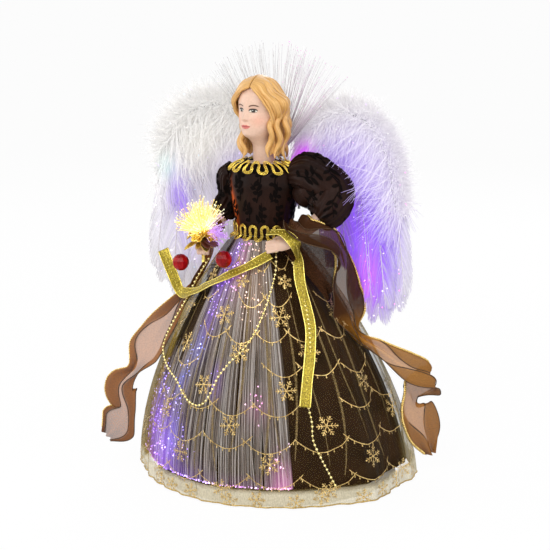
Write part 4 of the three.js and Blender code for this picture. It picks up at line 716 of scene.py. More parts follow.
ribbon("gold_ribbon_fall", [
    beside(HAND_TOP, (-4, -3, 6), (-0.1, -0.3, 1)),
    beside(HAND_TOP, (7, -3, 6.8), (0.3, -0.4, 0.85)),
    beside(HAND_TOP, (16.5, -4.5, 1), (0.6, -0.75, 0.3)),
    hang(-27, 0.1, 10), hang(-30, 0.17, 6.5), hang(-31, 0.26, 5.5), hang(-32.5, 0.335, 5.5),
    hang(-37.6, 0.43, 5.5), hang(-42, 0.52, 5.5), hang(-45, 0.61, 5.5),
], "ribbon_fall")
ribbon("gold_ribbon_swag", [
    *(tipped(hang(*place, make=calm_dress)) for place in SWAG_PLACES),
    tipped(hang(-137, 0.235, 3.0, turn=15, make=calm_dress)),
    beside(RIGHT[3], (-21, 0, -37), (-0.2, -0.95, 0.2)),
    beside(RIGHT[3], (-27, 1, -28), (0.2, -0.95, 0.2)),
    beside(RIGHT[3], (-37, 3, -10), (0.3, -0.95, 0.2)),
], "ribbon_swag")

# Bead strings: angle and level on the skirt, and how far a string stands off there
BEAD_RADIUS, BEAD_PITCH, STRING_RADIUS, BEAD_LIFT = 0.92, 3.0, 0.14, 2.4
STRING_STEPS, BEAD_UNEVEN, BEAD_CLEAR = 500, 0.06, 1.2


def bead_string(name, places, node):
    angle = np.radians([p[0] for p in places])
    level = vec(*[p[1] for p in places])
    off = vec(*[p[2] if len(p) > 2 else 0 for p in places])
    sheer_lift = calm_offset(angle, level) - TRIM_OFFSET + BEAD_CLEAR
    lift = np.maximum(BEAD_LIFT + off, sheer_lift)
    path = spline(on(trim_bell, angle, level, lift), STRING_STEPS)
    count = int(long(path) / BEAD_PITCH)
    rows = path[np.linspace(0, STRING_STEPS - 1, count).astype(int)]
    size = BEAD_RADIUS * (1 + BEAD_UNEVEN * rng.normal(size=count).clip(-1, 1))
    string = joined([balls(rows, size, 7, 12), plain(tube(path[::4], STRING_RADIUS, 6))])
    obj = piece(name, string, BEAD, (node,))


bead_string("gold_beads_swag", [
    (-159, 0.13), (-153, 0.2), (-149, 0.27, 0.4), (-144, 0.34, 4.5), (-143, 0.39, 5.6), (-145, 0.45, 5.6),
    (-140, 0.48, 5.6), (-133, 0.51, 3.6), (-127, 0.53, 2.6), (-117, 0.56, 1), (-110, 0.6), (-105, 0.62),
    (-99, 0.627), (-95, 0.61), (-92, 0.57), (-89, 0.51), (-83, 0.45), (-77, 0.41), (-69, 0.34), (-63, 0.27),
    (-57, 0.2), (-49.5, 0.12), (-45, 0.055),
], "bead_swag")
bead_string("gold_beads_fall", [
    (-29, 0.1), (-31, 0.2), (-32, 0.29), (-36, 0.4), (-41, 0.52), (-43, 0.6), (-42.5, 0.666),
    (-43, 0.733), (-40.7, 0.8), (-38, 0.86), (-35.6, 0.91),
], "bead_fall")

# Power lead from the battery box to the lamp
lead_path = spline([
    (10, 34.5, 78.3), (10, 32.5, 90), (10, 24, 110), (10, 21, 125), (5, 9, 133.3),
    (0, 3, 135.3), (0, -1.7, 135.3),
], 90)
LEAD_RADIUS = 1.2
lead = piece("lamp_lead", tube(lead_path, LEAD_RADIUS, 12), LEAD, ("power_lead",))


# Skirts
def bell_sheet(offset, hem, make_off, rows=70, cols=480):
    level = (hem * np.linspace(0, 1, rows) ** 0.9)[:, None]
    angle = (np.arange(cols) * TURN / cols)[None, :]
    return bell(offset + make_off(angle, level), angle, level)


def taffeta_ripple(angle, level):
    return 0.35 * np.sin(53 * angle) * level + TAFFETA_PUFF * puff(angle, level)


skirt_points = bell_sheet(SKIRT_OFFSET, SKIRT_HEM, taffeta_ripple)
skirt = piece("brown_skirt", grid(skirt_points, True), TAFFETA, ("skirt",))
sheer_points = bell_sheet(SHEER_OFFSET, SHEER_HEM, ruffle)
OLIVE_SHEER = vec(0.34, 0.225, 0.035)
CREAM_SHEER = vec(0.5, 0.41, 0.19)
HEM_SHEER = vec(0.7, 0.63, 0.45)
# Degrees round from the front where a colour starts, is full, fades and ends
OLIVE_BAND, CREAM_BAND = (38, 48, 95, 125), (94, 104, 145, 170)
HEM_BAND_LOW, HEM_BAND_TOP = 10.5, 14
OPEN_WEAVE, OLIVE_CLOSE, CREAM_CLOSE, HEM_CLOSE, CLOSEST = 0.03, 0.66, 0.5, 0.8, 0.82
HEM_CORD_RADIUS, HEM_CORD_RISE = 0.5, 0.3
GATHERS, GATHER_STEPS = 38, 40


def band(x, start, full, fading, end):
    return ease(x, start, full) * (1 - ease(x, fading, end))


def sheer_marks(points):
    """Colour and closeness of the sheer layer: olive on the right hip, cream on the left."""
    degrees = np.degrees(np.arctan2(points[..., 1], points[..., 0]))
    right_hip = np.mod(-90 - degrees, 360)
    left_hip = np.mod(degrees + 90, 360)
    olive = band(right_hip, *OLIVE_BAND)
    cream = band(left_hip, *CREAM_BAND)
    hem = 1 - ease(points[..., 2], HEM_BAND_LOW, HEM_BAND_TOP)
    paint = OLIVE_SHEER + (CREAM_SHEER - OLIVE_SHEER) * cream[..., None]
    paint = paint + (HEM_SHEER - paint) * hem[..., None]
    closeness = OPEN_WEAVE + OLIVE_CLOSE * olive + CREAM_CLOSE * cream + HEM_CLOSE * hem
    closeness = np.clip(closeness, 0, CLOSEST)
    return paint.reshape(-1, 3), closeness.reshape(-1, 1) * np.ones(3)


sheer_paint, sheer_closeness = sheer_marks(sheer_points)
sheer_shape = grid(sheer_points, True, paint=sheer_paint, veil=sheer_closeness)
overskirt = piece("sheer_overskirt", sheer_shape, SHEER, ("overskirt",))
hem_loop = np.vstack([sheer_points[-1], sheer_points[-1, :1]]) + vec(0, 0, HEM_CORD_RISE)
hem_cord = piece("overskirt_hem", tube(hem_loop, HEM_CORD_RADIUS, 6), HEM_CORD)


def gather_lines():
    """Folded-over gathers of the sheer layer, seen as narrow closer bands."""
    out = []
    for k in range(GATHERS):
        u = np.linspace(rng.uniform(0.02, 0.3), rng.uniform(0.75, 0.985), GATHER_STEPS)
        sway = 0.09 * np.sin(5 * u + rng.uniform(0, TURN)) * u
        angle = (k + rng.uniform(-0.35, 0.35)) * TURN / GATHERS + sway
        at = on(dress, angle, u, np.full(GATHER_STEPS, 0.12))
        side = np.cross(unit(np.gradient(at, axis=0)), normals(dress, angle, u))
        taper = np.sin(np.pi * np.linspace(0.04, 0.96, GATHER_STEPS))[:, None] ** 0.5
        wide = rng.uniform(0.45, 1.0) * taper
        out.append(Shape(np.stack([at - side * wide, at + side * wide], 1), grid_faces(GATHER_STEPS, 2)))
    return joined(out)


gathers = piece("overskirt_gathers", gather_lines(), GATHER)

# Gold print: rows of swags with drops, and a snowflake under each
PRINT_ROWS, PRINT_PITCH, PRINT_FIRST, SWAGS, SWAG_SHARE = 7, 24.0, 15.0, 16, 0.82
SWAG_SAG, SWAG_LINE, DROP_LONG, DROP_STEP, FLAKE, FLAKE_LINE = 9.5, 0.46, 1.7, 4.2, 6.6, 0.58
HEM_FLAKES, HEM_FLAKE = 26, 5.4
FLAKE_DROP, LOW_FLAKE_DROP, TOP_FLAKE, FLAKE_DOT, DROP_DOT = 9.5, 4.5, 4.5, 0.6, 0.42
TWIGS_AT, TWIG_LEAN, TWIG = (0.45, 0.72), 0.95, 0.3
SWAG_REACH, SWAG_DROP, PRINT_OUT, PRINT_LIFT, LEAST_ROUND = 1.08, 2, 6, 0.2, 30
ROWS = np.linspace(0, SHEER_HEM, 400)
STEPS = np.linalg.norm(np.diff(bell(0, FRONT + 0 * ROWS, ROWS), axis=0), axis=1)
HIGH = STEPS.sum() - np.concatenate([[0], np.cumsum(STEPS)])


def printed(middle, high, dx, dy):
    """Places on the sheer layer beside a point, in millimetres along the cloth."""
    level = np.interp(-(high + dy), -HIGH, ROWS)
    angle = middle + dx / np.maximum(girth(level) + PRINT_OUT, LEAST_ROUND)
    return on(dress, angle, level, np.full(np.shape(level), PRINT_LIFT)), normals(dress, angle, level)


def ink(middle, high, dx, dy, width):
    at, face = printed(middle, high, np.asarray(dx, float), np.asarray(dy, float))
    side = np.cross(unit(np.gradient(at, axis=0)), face) * np.asarray(width, float).reshape(-1, 1) / 2
    return Shape(np.stack([at - side, at + side], 1), grid_faces(len(at), 2))


def dot(middle, high, dx, dy, size):
    turn = np.arange(6) * np.pi / 3
    at, _ = printed(middle, high, dx + size * np.cos(turn), dy + size * np.sin(turn))
    return Shape(at, np.array([[0, 1, 2, 3], [0, 3, 4, 5]]))


def swag_print(middle, high):
    half = np.pi / SWAGS * (girth(np.interp(-high, -HIGH, ROWS)) + PRINT_OUT) * SWAG_REACH
    t = np.linspace(-1, 1, 27)
    out = [ink(middle, high, t * half, SWAG_SAG * t**2 - SWAG_DROP, SWAG_LINE)]
    drops = max(4, int(2 * half / DROP_STEP))
    for x in np.linspace(-0.92, 0.92, drops):
        y = SWAG_SAG * x**2 - SWAG_DROP
        out.append(ink(middle, high, [x * half] * 2, [y, y - DROP_LONG], [0.5, 0.4]))
        out.append(dot(middle, high, x * half, y - DROP_LONG, DROP_DOT))
    return out


def flake_print(middle, high, size):
    out = []
    spin = rng.random() * 0.5
    for arm in range(6):
        a = spin + arm * np.pi / 3
        c, s = math.cos(a), math.sin(a)
        out.append(ink(middle, high, [0, c * size], [0, s * size], [FLAKE_LINE, FLAKE_LINE * 0.8]))
        out.append(dot(middle, high, c * size, s * size, FLAKE_DOT))
        for far in TWIGS_AT:
            for lean in (-TWIG_LEAN, TWIG_LEAN):
                x, y = c * size * far, s * size * far
                dx, dy = math.cos(a + lean) * size * TWIG, math.sin(a + lean) * size * TWIG
                out.append(ink(middle, high, [x, x + dx], [y, y + dy], [FLAKE_LINE * 0.85] * 2))
    return out


def overskirt_print():
    out = []
    for row in range(PRINT_ROWS):
        high = PRINT_FIRST + PRINT_PITCH * row
        shift = rng.uniform(0, 1)
        for k in range(SWAGS):
            middle = (k + shift + rng.uniform(-0.1, 0.1)) * TURN / SWAGS
            if rng.random() < SWAG_SHARE:
                out += swag_print(middle, high + rng.uniform(-1.5, 1.5))
            if (k + row) % 2 == 0:
                drop = FLAKE_DROP if row else LOW_FLAKE_DROP
                size = FLAKE if row < PRINT_ROWS - 1 else TOP_FLAKE
                out += flake_print(middle, high - drop, size)
    for k in range(HEM_FLAKES):
        middle = (k + rng.uniform(-0.3, 0.3)) * TURN / HEM_FLAKES
        out += flake_print(middle, rng.uniform(2.5, 7.5), HEM_FLAKE)
    return joined(out)


gold_print = piece("overskirt_print", overskirt_print(), PRINT, smooth=False)

# Front panel of fibres
VIOLET, BLUE = vec(0.34, 0.12, 1.0), vec(0.14, 0.18, 1.0)
PINK, WHITE = vec(1.0, 0.3, 0.75), vec(1, 0.95, 1)
TAN, MAGENTA = vec(0.8, 0.4, 0.2), vec(0.8, 0.12, 1.0)
PANEL_CLUMPS, CLUMP_FIBRES, PANEL_FROM, PANEL_TO, FIBRE_RADIUS = 90, 9, -124.5, -52.0, 0.24
PANEL_STEPS, PANEL_INSET, CLUMP_HALF, PANEL_NICKS, PANEL_ENDS = 16, 0.012, 0.7, 1500, 260
# Colour, strength, degrees round and their spread, level and its spread
PANEL_GLOWS = [
    (VIOLET, 0.2, -108, 6, 0.3, 0.09), (BLUE, 0.24, -112, 6, 0.42, 0.07),
    (BLUE, 0.3, -119, 5, 0.56, 0.06), (VIOLET, 0.25, -92, 4, 0.53, 0.05),
    (VIOLET, 0.55, -124, 11, 0.86, 0.16), (BLUE, 0.3, -118, 6, 0.78, 0.08),
    (VIOLET, 0.22, -105, 12, 0.95, 0.07), (PINK, 0.45, -57, 5, 0.93, 0.09),
    (MAGENTA, 0.25, -75, 14, 0.97, 0.04), (PINK, 0.12, -68, 6, 0.62, 0.05),
    (VIOLET, 0.34, -108, 11, 0.12, 0.14), (PINK, 0.2, -92, 8, 0.1, 0.1),
    (TAN, 0.13, -72, 13, 0.2, 0.16), (VIOLET, 0.55, -143, 10, 0.78, 0.14),
    (BLUE, 0.4, -146, 5, 0.66, 0.08), (MAGENTA, 0.3, -142, 12, 0.95, 0.05),
]
HIP_FIBRES, HIP_FROM, HIP_TO = 190, -163.0, -125.0


def patches(glows, across, up):
    """Light in soft patches, each with a colour, a strength, and a middle and spread both ways."""
    out = 0
    for colour, bright, x, wide, y, tall in glows:
        share = bright * hump(across - x, wide) * hump(up - y, tall)
        out = out + share[..., None] * colour
    return out


def lit_points(name, at, sizes, paint, glow, body="topper"):
    """Small glowing points: bright ends and nicks of fibres, and on the wings sparkles of light painted on
    the down and feathers.
    """
    size = rng.uniform(*sizes, len(at))
    piece(name, balls(at, size, 3, 6, paint, glow), LIT, (), body)


def fibre_panel():
    count = PANEL_CLUMPS * CLUMP_FIBRES
    spots = np.linspace(PANEL_FROM + CLUMP_HALF, PANEL_TO - CLUMP_HALF, PANEL_CLUMPS)
    spots = spots + rng.normal(0, 0.4, PANEL_CLUMPS)
    middle = np.repeat(spots, CLUMP_FIBRES)[:, None]
    level = np.linspace(PANEL_INSET, SKIRT_HEM - PANEL_INSET, PANEL_STEPS)
    phase = rng.uniform(0, TURN, (PANEL_CLUMPS, 1)).repeat(CLUMP_FIBRES, 0)
    drift = rng.normal(0, 0.5, (PANEL_CLUMPS, 1)).repeat(CLUMP_FIBRES, 0) * np.sin(level * 7 + phase)
    stray = np.clip(rng.normal(0, 0.55, (count, 1)), -1.3, 1.3)
    degrees = middle + stray * (1.15 - 0.55 * level) + drift * level
    degrees = np.clip(degrees, PANEL_FROM, PANEL_TO)
    depth = PANEL_OFFSET + 1.6 * rng.random((count, 1)) + 0.4 * np.sin(level * 9 + middle)
    level = level[None, :] + 0 * degrees
    first = rng.uniform(0.42, 0.64, (HIP_FIBRES, 1))
    hip_level = first + (SKIRT_HEM - PANEL_INSET - first) * np.linspace(0, 1, PANEL_STEPS)
    hip = rng.uniform(HIP_FROM, HIP_TO, (HIP_FIBRES, 1)) + rng.normal(0, 0.8, (HIP_FIBRES, 1)) * hip_level
    hip_depth = PANEL_OFFSET + 1.2 * rng.random((HIP_FIBRES, 1)) + puff(np.radians(hip), hip_level) * 0.8
    degrees, level = np.vstack([degrees, hip]), np.vstack([level, hip_level])
    count = count + HIP_FIBRES
    paths = bell(np.vstack([depth, hip_depth]), np.radians(degrees), level)
    tones = np.array([(0.1, 0.074, 0.058), (0.27, 0.22, 0.195), (0.53, 0.48, 0.45)])
    base = tones[rng.choice(3, count, p=[0.3, 0.42, 0.28])] * rng.uniform(0.7, 1.2, (count, 1))
    shape = hairs(paths, FIBRE_RADIUS, base, patches(PANEL_GLOWS, degrees, level))
    piece("panel_fibres", shape, FIBRE, ("skirt_fibres",))
    return paths, degrees, level


def panel_points(paths, degrees, level):
    """Bright nicks along the fibres, and their cut ends at the hem."""
    pick = rng.integers(0, len(paths), PANEL_NICKS)
    where = rng.integers(1, PANEL_STEPS - 1, PANEL_NICKS)
    ends = rng.integers(0, len(paths), PANEL_ENDS)
    pick = np.concatenate([pick, ends])
    where = np.concatenate([where, np.full(PANEL_ENDS, PANEL_STEPS - 1)])
    light = patches(PANEL_GLOWS, degrees[pick, where], level[pick, where])
    bright = light.sum(1) * (1 + 1.5 * (where == PANEL_STEPS - 1))
    keep = (bright + 0.008) * rng.random(len(pick)) > 0.05
    pick, where, light = pick[keep], where[keep], light[keep]
    back = rng.random((len(pick), 1)) * (1 - 0.9 * (where == PANEL_STEPS - 1))[:, None]
    at = paths[pick, where] * (1 - back) + paths[pick, where - 1] * back
    at = at + unit(at * [1, 1, 0]) * 0.5
    hue = unit(light + 0.02) * 1.1 + rng.choice([0.05, 0.5], (len(at), 1), p=[0.65, 0.35])
    lit_points("panel_lit_points", at, (0.28, 0.6), hue * 0.4, hue * 1.9)


panel_points(*fibre_panel())

# Torso
FLOOR_Z, TORSO_H, TORSO_HALF, TORSO_DEEP = 171.3, 48.0, 24.6, 18.0
TORSO = np.array([
    (0, 0.756, 0.889), (0.12, 0.772, 0.911), (0.4, 0.874, 0.978), (0.7, 1, 1),
    (0.87, 0.992, 0.878), (0.97, 0.707, 0.7), (1, 0.467, 0.589),
])


def smooth_levels(table, share, blur=0.03):
    """A table read smoothly: each column averaged over a short span."""
    out = []
    for k in range(1, table.shape[1]):
        reads = [
            np.interp(np.clip(share + d, table[0, 0], table[-1, 0]), table[:, 0], table[:, k])
            for d in np.linspace(-blur, blur, 9)
        ]
        out.append(np.mean(reads, axis=0))
    return out


def torso(share, angle, grow):
    wide, deep = smooth_levels(TORSO, share)
    return spread(
        (TORSO_HALF * wide + grow) * np.cos(angle),
        TORSO_Y + (TORSO_DEEP * deep + grow) * np.sin(angle),
        FLOOR_Z + share * TORSO_H + 0.8 * grow * (share > 0.8),
    )


BODICE_GROW, TUCKS, TUCK_DEEP, BODICE_ROWS, BODICE_COLS = 0.8, 22, 0.35, 60, 160
# Orange light on the front right of the bodice: degrees round, spread, lean, level and spread
WARM_AT, WARM_WIDE, WARM_LEAN, WARM_LEVEL, WARM_TALL = -134, 8, 14, 0.42, 0.24
WARM_LIGHT = vec(1.1, 0.17, 0.015)


def add_bodice():
    share = np.linspace(0.004, 0.992, BODICE_ROWS)[:, None]
    angle = (np.arange(BODICE_COLS) * TURN / BODICE_COLS)[None, :]
    tuck = np.sin(TUCKS * angle + 2 * np.sin(2 * angle)) * (1 - share) ** 2
    tuck = BODICE_GROW + TUCK_DEEP * tuck
    degrees = np.degrees(np.arctan2(np.sin(angle), np.cos(angle)))
    lit = hump(degrees - WARM_AT + WARM_LEAN * (share - 0.4), WARM_WIDE)
    lit = lit * hump(share - WARM_LEVEL, WARM_TALL)
    streak = 0.55 + 0.45 * np.sin(90 * angle + 7 * share)
    glow = (lit * streak)[..., None] * WARM_LIGHT
    points = torso(share, angle, tuck)
    shape = grid(points, True, glow=glow.reshape(-1, 3))
    obj = piece("flocked_bodice", shape, SATIN, ("bodice",))


add_bodice()


def sprig(make, u, v, size, spin):
    """A flocked branch with leaves, laid on a surface given by two numbers."""
    c, s = math.cos(spin), math.sin(spin)
    step = 1e-3

    def turned(x, y):
        return np.stack([(c * x - s * y) * size[0], (s * x + c * y) * size[1]], -1)

    def strip(points, widths):
        at = make(u + points[:, 0], v + points[:, 1])
        du = make(u + points[:, 0] + step, v + points[:, 1]) - at
        dv = make(u + points[:, 0], v + points[:, 1] + step) - at
        side = np.cross(unit(np.gradient(at, axis=0)), unit(np.cross(du, dv))) * widths[:, None]
        return Shape(np.stack([at - side, at + side], 1), grid_faces(len(at), 2))

    t = np.linspace(0, 1, 12)
    out = [strip(turned(0.25 * np.sin(4 * t), t - 0.5), 0.45 * (1 - 0.5 * t))]
    f = np.linspace(0, 1, 7)
    for k in range(6):
        side = 1 if k % 2 else -1
        y = 0.1 + 0.14 * k
        leaf = turned(0.25 * math.sin(4 * y) + side * 0.42 * f, y - 0.5 + 0.2 * f)
        out.append(strip(leaf, 1.25 * np.sin(np.pi * np.clip(f * 1.02, 0, 1)) ** 0.8 + 0.1))
    return out


def body_skin(u, v):
    return torso(np.clip(v, 0.02, 0.98), u, 1.15)


# Sprigs round the body and round each sleeve, the levels they stand at, and their size round and along
BODY_SPRIGS, BODY_LEVELS, BODY_SPRIG = 11, (0.32, 0.62, 0.84), (0.34, 0.3)
SLEEVE_SPRIGS, SLEEVE_LEVELS, SLEEVE_SPRIG = 5, (0.25, 0.52, 0.78), (0.75, 0.3)
flock = []
for k in range(BODY_SPRIGS):
    for v in BODY_LEVELS:
        spot = k * TURN / BODY_SPRIGS + 0.28 * (v > 0.5) + rng.normal(0, 0.05)
        flock += sprig(body_skin, spot, v, BODY_SPRIG, rng.uniform(-0.8, 0.8))

# Sleeves
SLEEVE_SHARES = vec(0.62, 0.9, 1.02, 1.0, 0.85, 0.5)
SLEEVE_RISE, ELBOW_RISE, CUFF_AT = 6.8, 2.0, 0.16
SLEEVE_STEPS, INNER_AT, INNER_SPREAD, SEAM_SHARE, FLOCK_LIFT = 80, 0.66, 0.22, 1.05, 0.3
# Side, arm, fullness, inner bulge, phase of the folds and the cloth's flat size in metres
SLEEVES = [
    ("left", LEFT, 14.0, 15.0, 1.0, (0.1, 0.085)),
    ("right", RIGHT, 8.8, 0.0, 2.3, (0.07, 0.06)),
]


def sleeve(arm, full, inner, seed):
    """A puffed sleeve's skin as a function of the turn about the arm and the share along it."""
    shoulder, elbow, forearm, wrist, _ = arm
    upper = elbow - shoulder
    stops = [
        shoulder - upper * 0.05, shoulder + upper * 0.2 + vec(0, 0, SLEEVE_RISE * 0.62),
        shoulder + upper * 0.45 + vec(0, 0, SLEEVE_RISE), elbow + vec(0, 0, ELBOW_RISE),
        forearm + vec(0, 0, 0.5), forearm + (wrist - forearm) * CUFF_AT,
    ]
    path, size = spline(stops, SLEEVE_STEPS, SLEEVE_SHARES * full)
    _, a, b = frames(path, vec(0, 0, 1))
    places = np.arange(SLEEVE_STEPS)

    def read(i, line):
        return np.stack([np.interp(i, places, line[:, j]) for j in range(3)], -1)

    def skin(u, v):
        i = np.clip(v, 0, 1) * (SLEEVE_STEPS - 1)
        middle, one, two = [read(i, line) for line in (path, a, b)]
        ends = 1 - np.abs(2 * np.clip(v, 0, 1) - 1)
        folds = 0.045 * np.sin(7 * u + seed + 2.5 * v) + 0.03 * np.sin(13 * u + 5 * v + seed)
        folds = folds + 0.05 * np.sin(19 * u + seed) * (1 - ends)
        r = np.interp(i, places, size[:, 0]) * (1 + folds)
        r = r + 0.8 * np.sin(9 * v + 2 * np.cos(u + seed)) * ends
        way = np.cos(u)[..., None] * one + np.sin(u)[..., None] * two
        r = r + inner * np.clip(-way[..., 0], 0, 1) ** 2 * hump(v - INNER_AT, INNER_SPREAD)
        return middle + r[..., None] * way

    return skin


def raised(skin):
    """A skin a hair's breadth outside another, for the flock."""

    def outer(u, v):
        v = np.clip(v, 0.03, 0.97)
        at = skin(u, v)
        n = unit(np.cross(skin(u + 1e-3, v) - at, skin(u, v + 1e-3) - at))
        middle = (at + skin(u + np.pi, v)) / 2
        n = n * np.sign(((at - middle) * n).sum(-1, keepdims=True))
        return at + FLOCK_LIFT * n

    return outer


for side, arm, full, inner, seed, flat in SLEEVES:
    skin = sleeve(arm, full, inner, seed)
    u, v = np.meshgrid(np.arange(120) * TURN / 120, np.linspace(0, 1, 90))
    points = skin(u, v)
    obj = piece(f"{side}_puff_sleeve", grid(points, True), SATIN, (f"{side}_sleeve",))
    for k in range(SLEEVE_SPRIGS):
        for w in SLEEVE_LEVELS:
            spot = k * TURN / SLEEVE_SPRIGS + 0.6 * (w > 0.5)
            flock += sprig(raised(skin), spot, w, SLEEVE_SPRIG, rng.uniform(-0.9, 0.9))
piece("flocked_branches", joined(flock), FLOCK, smooth=False)

# Scroll braid
CORD_RADIUS, CORD_STEP, BRAID_LEAN, BRAID_FLARE = 0.27, 0.66, 0.78, 1.4


def gimp(name, node, low, high, repeats, grow):
    """Scroll braid: three cords side by side in round turns, up and down about the body."""
    n = repeats * 64
    t = np.linspace(0, TURN, n + 1)
    phase = t * repeats
    tall = (high - low) / 2 - (CORD_STEP + CORD_RADIUS) / TORSO_H
    x = t - BRAID_LEAN / repeats * np.sin(2 * phase)
    y = tall * np.sin(phase)
    round_by = TORSO_HALF * 0.85
    dx, dy = np.gradient(x) * round_by, np.gradient(y) * TORSO_H
    far = np.hypot(dx, dy)
    out = []

    def laid(px, py, lift):
        held = np.clip(py, 0.0, 0.999)
        at = torso(held, px - np.pi / 2, lift + BRAID_FLARE * TORSO_H * np.maximum(-py, 0))
        at[:, 2] += (py - held) * TORSO_H
        return at

    for off in (-CORD_STEP, 0.0, CORD_STEP):
        px = x - off * dy / far / round_by
        py = (high + low) / 2 + y + off * dx / far / TORSO_H
        out.append(tube(laid(px, py, grow + 0.25 * np.cos(phase * 2 + off)), CORD_RADIUS, 7))
    piece(name, joined(out), BRAID, (node,))


gimp("waist_gimp", "waist_braid", -0.06, 0.165, 16, 2.3)
gimp("collar_gimp", "collar_braid", 0.84, 1.02, 14, 2.0)

# Head: share of the height, then how far back, wide, front and rear it is there
HEAD_Y, CHIN_Z, HEAD_H, HEAD_HALF, HEAD_DEEP = -24.0, 237.6, 38.0, 13.8, 15.0
EYE, BROW, LIPS, NOSE, CHEEK = 0.465, 0.565, 0.195, 0.33, 0.3
EYE_APART, FACE_TURN = 4.9, math.radians(9)
HEAD = np.array([
    (-0.6, 0.4, 0.52, 0.5, 0.5), (-0.4, 0.4, 0.52, 0.5, 0.5), (-0.16, 0.268, 0.5, 0.49, 0.47),
    (-0.05, 0.1, 0.52, 0.588, 0.563), (0.02, 0, 0.6, 0.9, 0.719), (0.13, 0, 0.8, 0.975, 0.888),
    (0.27, 0, 0.92, 0.956, 0.963), (0.43, 0, 0.985, 0.925, 1), (0.6, 0, 1, 0.963, 1.013),
    (0.77, 0, 0.92, 0.863, 0.95), (0.91, 0, 0.68, 0.625, 0.813), (0.985, 0, 0.32, 0.288, 0.4),
])
# Forms of the face: height, degrees each side of the middle and their spread, level and its spread
FACE_FORMS = [
    (0.5, 0, 13, NOSE - 0.01, 0.03), (0.8, 0, 22, LIPS, 0.05), (-0.4, 0, 15, LIPS, 0.008),
    (0.45, 0, 11, LIPS + 0.022, 0.014), (0.5, 0, 10, LIPS - 0.022, 0.016), (-1.3, 24, 12, EYE, 0.055),
    (0.7, 24, 8, EYE - 0.005, 0.03), (0.8, 32, 17, CHEEK, 0.11), (0.8, 0, 14, 0.06, 0.05),
]


def head_skin(share, turn):
    back, wide, front, rear = smooth_levels(HEAD, share, 0.035)
    deep = np.where(np.cos(turn) > 0, front, rear) * HEAD_DEEP
    f = np.degrees(turn)
    tip = np.where(share < NOSE, hump(share - NOSE, 0.03), hump(share - NOSE, 0.13))
    relief = 3.0 * hump(f, 8.5) * tip
    for tall, aside, reach, level, span in FACE_FORMS:
        relief = relief + tall * hump(np.abs(f) - aside, reach) * hump(share - level, span)
    return spread(
        HEAD_HALF * wide * np.sin(turn),
        HEAD_Y + back * HEAD_DEEP - (deep + relief) * np.cos(turn),
        CHIN_Z + share * HEAD_H,
    )


def face_paint(skin, front):
    """A calm painted doll's face: blush, eyes, lashes, brows and lips."""
    x, s = np.abs(skin[..., 0]), (skin[..., 2] - CHIN_Z) / HEAD_H
    paint = np.ones(skin.shape) * vec(0.71, 0.475, 0.355)

    def brush(amount, colour):
        a = np.clip(amount * front, 0, 1)[..., None]
        return paint * (1 - a) + vec(*colour) * a

    def arc(across, half, tall):
        return tall * np.sqrt(np.clip(1 - (across / half) ** 2, 0, 1))

    paint = brush(0.36 * hump(x - 8, 4) * hump(s - CHEEK, 0.1), (0.78, 0.3, 0.2))
    paint = brush(0.3 * hump(x - EYE_APART, 3.2) * hump(s - EYE - 0.04, 0.035), (0.45, 0.2, 0.12))
    ex, ez = x - EYE_APART, (s - EYE) * HEAD_H
    half = 2.5
    lids = ease(arc(ex, half, 1.15) - ez, -0.12, 0.12) * ease(ez + arc(ex, half, 0.85), -0.12, 0.12)
    open_eye = lids * (np.abs(ex) < half)
    paint = brush(open_eye, (0.75, 0.72, 0.62))
    far = np.hypot(ex - 0.1, ez - 0.1)
    paint = brush(open_eye * ease(1.35 - far, -0.1, 0.1), (0.06, 0.035, 0.016))
    paint = brush(open_eye * ease(0.7 - far, -0.1, 0.1), (0.006, 0.005, 0.005))
    # A white highlight painted in each eye.
    paint = brush(open_eye * ease(0.26 - np.hypot(ex + 0.35, ez - 0.5), -0.1, 0.1), (1, 1, 1))
    lash = np.abs(ez - arc(ex, half + 0.3, 1.2) - 0.08)
    paint = brush(ease(0.5 - lash, -0.12, 0.12) * (np.abs(ex) < half + 0.3), (0.016, 0.007, 0.005))
    low = np.abs(ez + arc(ex, half + 0.1, 0.95))
    paint = brush(0.6 * ease(0.2 - low, -0.1, 0.1) * (np.abs(ex) < half), (0.16, 0.06, 0.04))
    arch = (s - BROW) * HEAD_H - np.cos((x - 5.6) * 0.45) + 0.9
    ends = ease(x, 1.9, 2.9) * ease(-x, -9.2, -7.8)
    paint = brush(ease(0.42 - np.abs(arch), -0.15, 0.15) * ends, (0.09, 0.03, 0.015))
    lz = (s - LIPS) * HEAD_H
    bow = arc(x, 3.9, 1.2) * (0.78 + 0.3 * hump(x - 1.2, 0.9))
    lips = ease(bow - lz, -0.15, 0.15) * ease(lz + arc(x, 3.4, 1.5), -0.15, 0.15) * (x < 3.9)
    paint = brush(0.95 * lips, (0.6, 0.15, 0.125))
    parting = 0.18 - np.abs(lz + 0.1 * np.cos(x))
    paint = brush(0.8 * ease(parting, -0.12, 0.12) * (x < 3.5), (0.24, 0.02, 0.02))
    return brush(0.5 * hump(x - 1.4, 0.6) * hump(s - NOSE + 0.03, 0.009), (0.42, 0.18, 0.12))


def add_head():
    neck, face, crown = (-0.59, 0, 44), (0.003, 0.66, 230), (0.67, 0.985, 40)
    share = np.concatenate([np.linspace(*part) for part in (neck, face, crown)])
    ring = np.linspace(-1, 1, 300, endpoint=False)
    turn = (np.sign(ring) * np.abs(ring) ** 1.5 * np.pi)[None, :]
    skin = head_skin(share[:, None], turn)
    paint = face_paint(skin, np.cos(turn) > 0.1)
    look_aside = -FACE_TURN * ease(share[:, None], -0.35, 0.02)
    x, y = skin[..., 0], skin[..., 1] - HEAD_Y
    skin = spread(
        x * np.cos(look_aside) - y * np.sin(look_aside),
        HEAD_Y + x * np.sin(look_aside) + y * np.cos(look_aside),
        skin[..., 2],
    )
    shape = grid(skin, True, paint=paint.reshape(-1, 3), glow=vec(0, 0, 0))
    piece("painted_head", shape, SKIN, ("head",))


add_head()

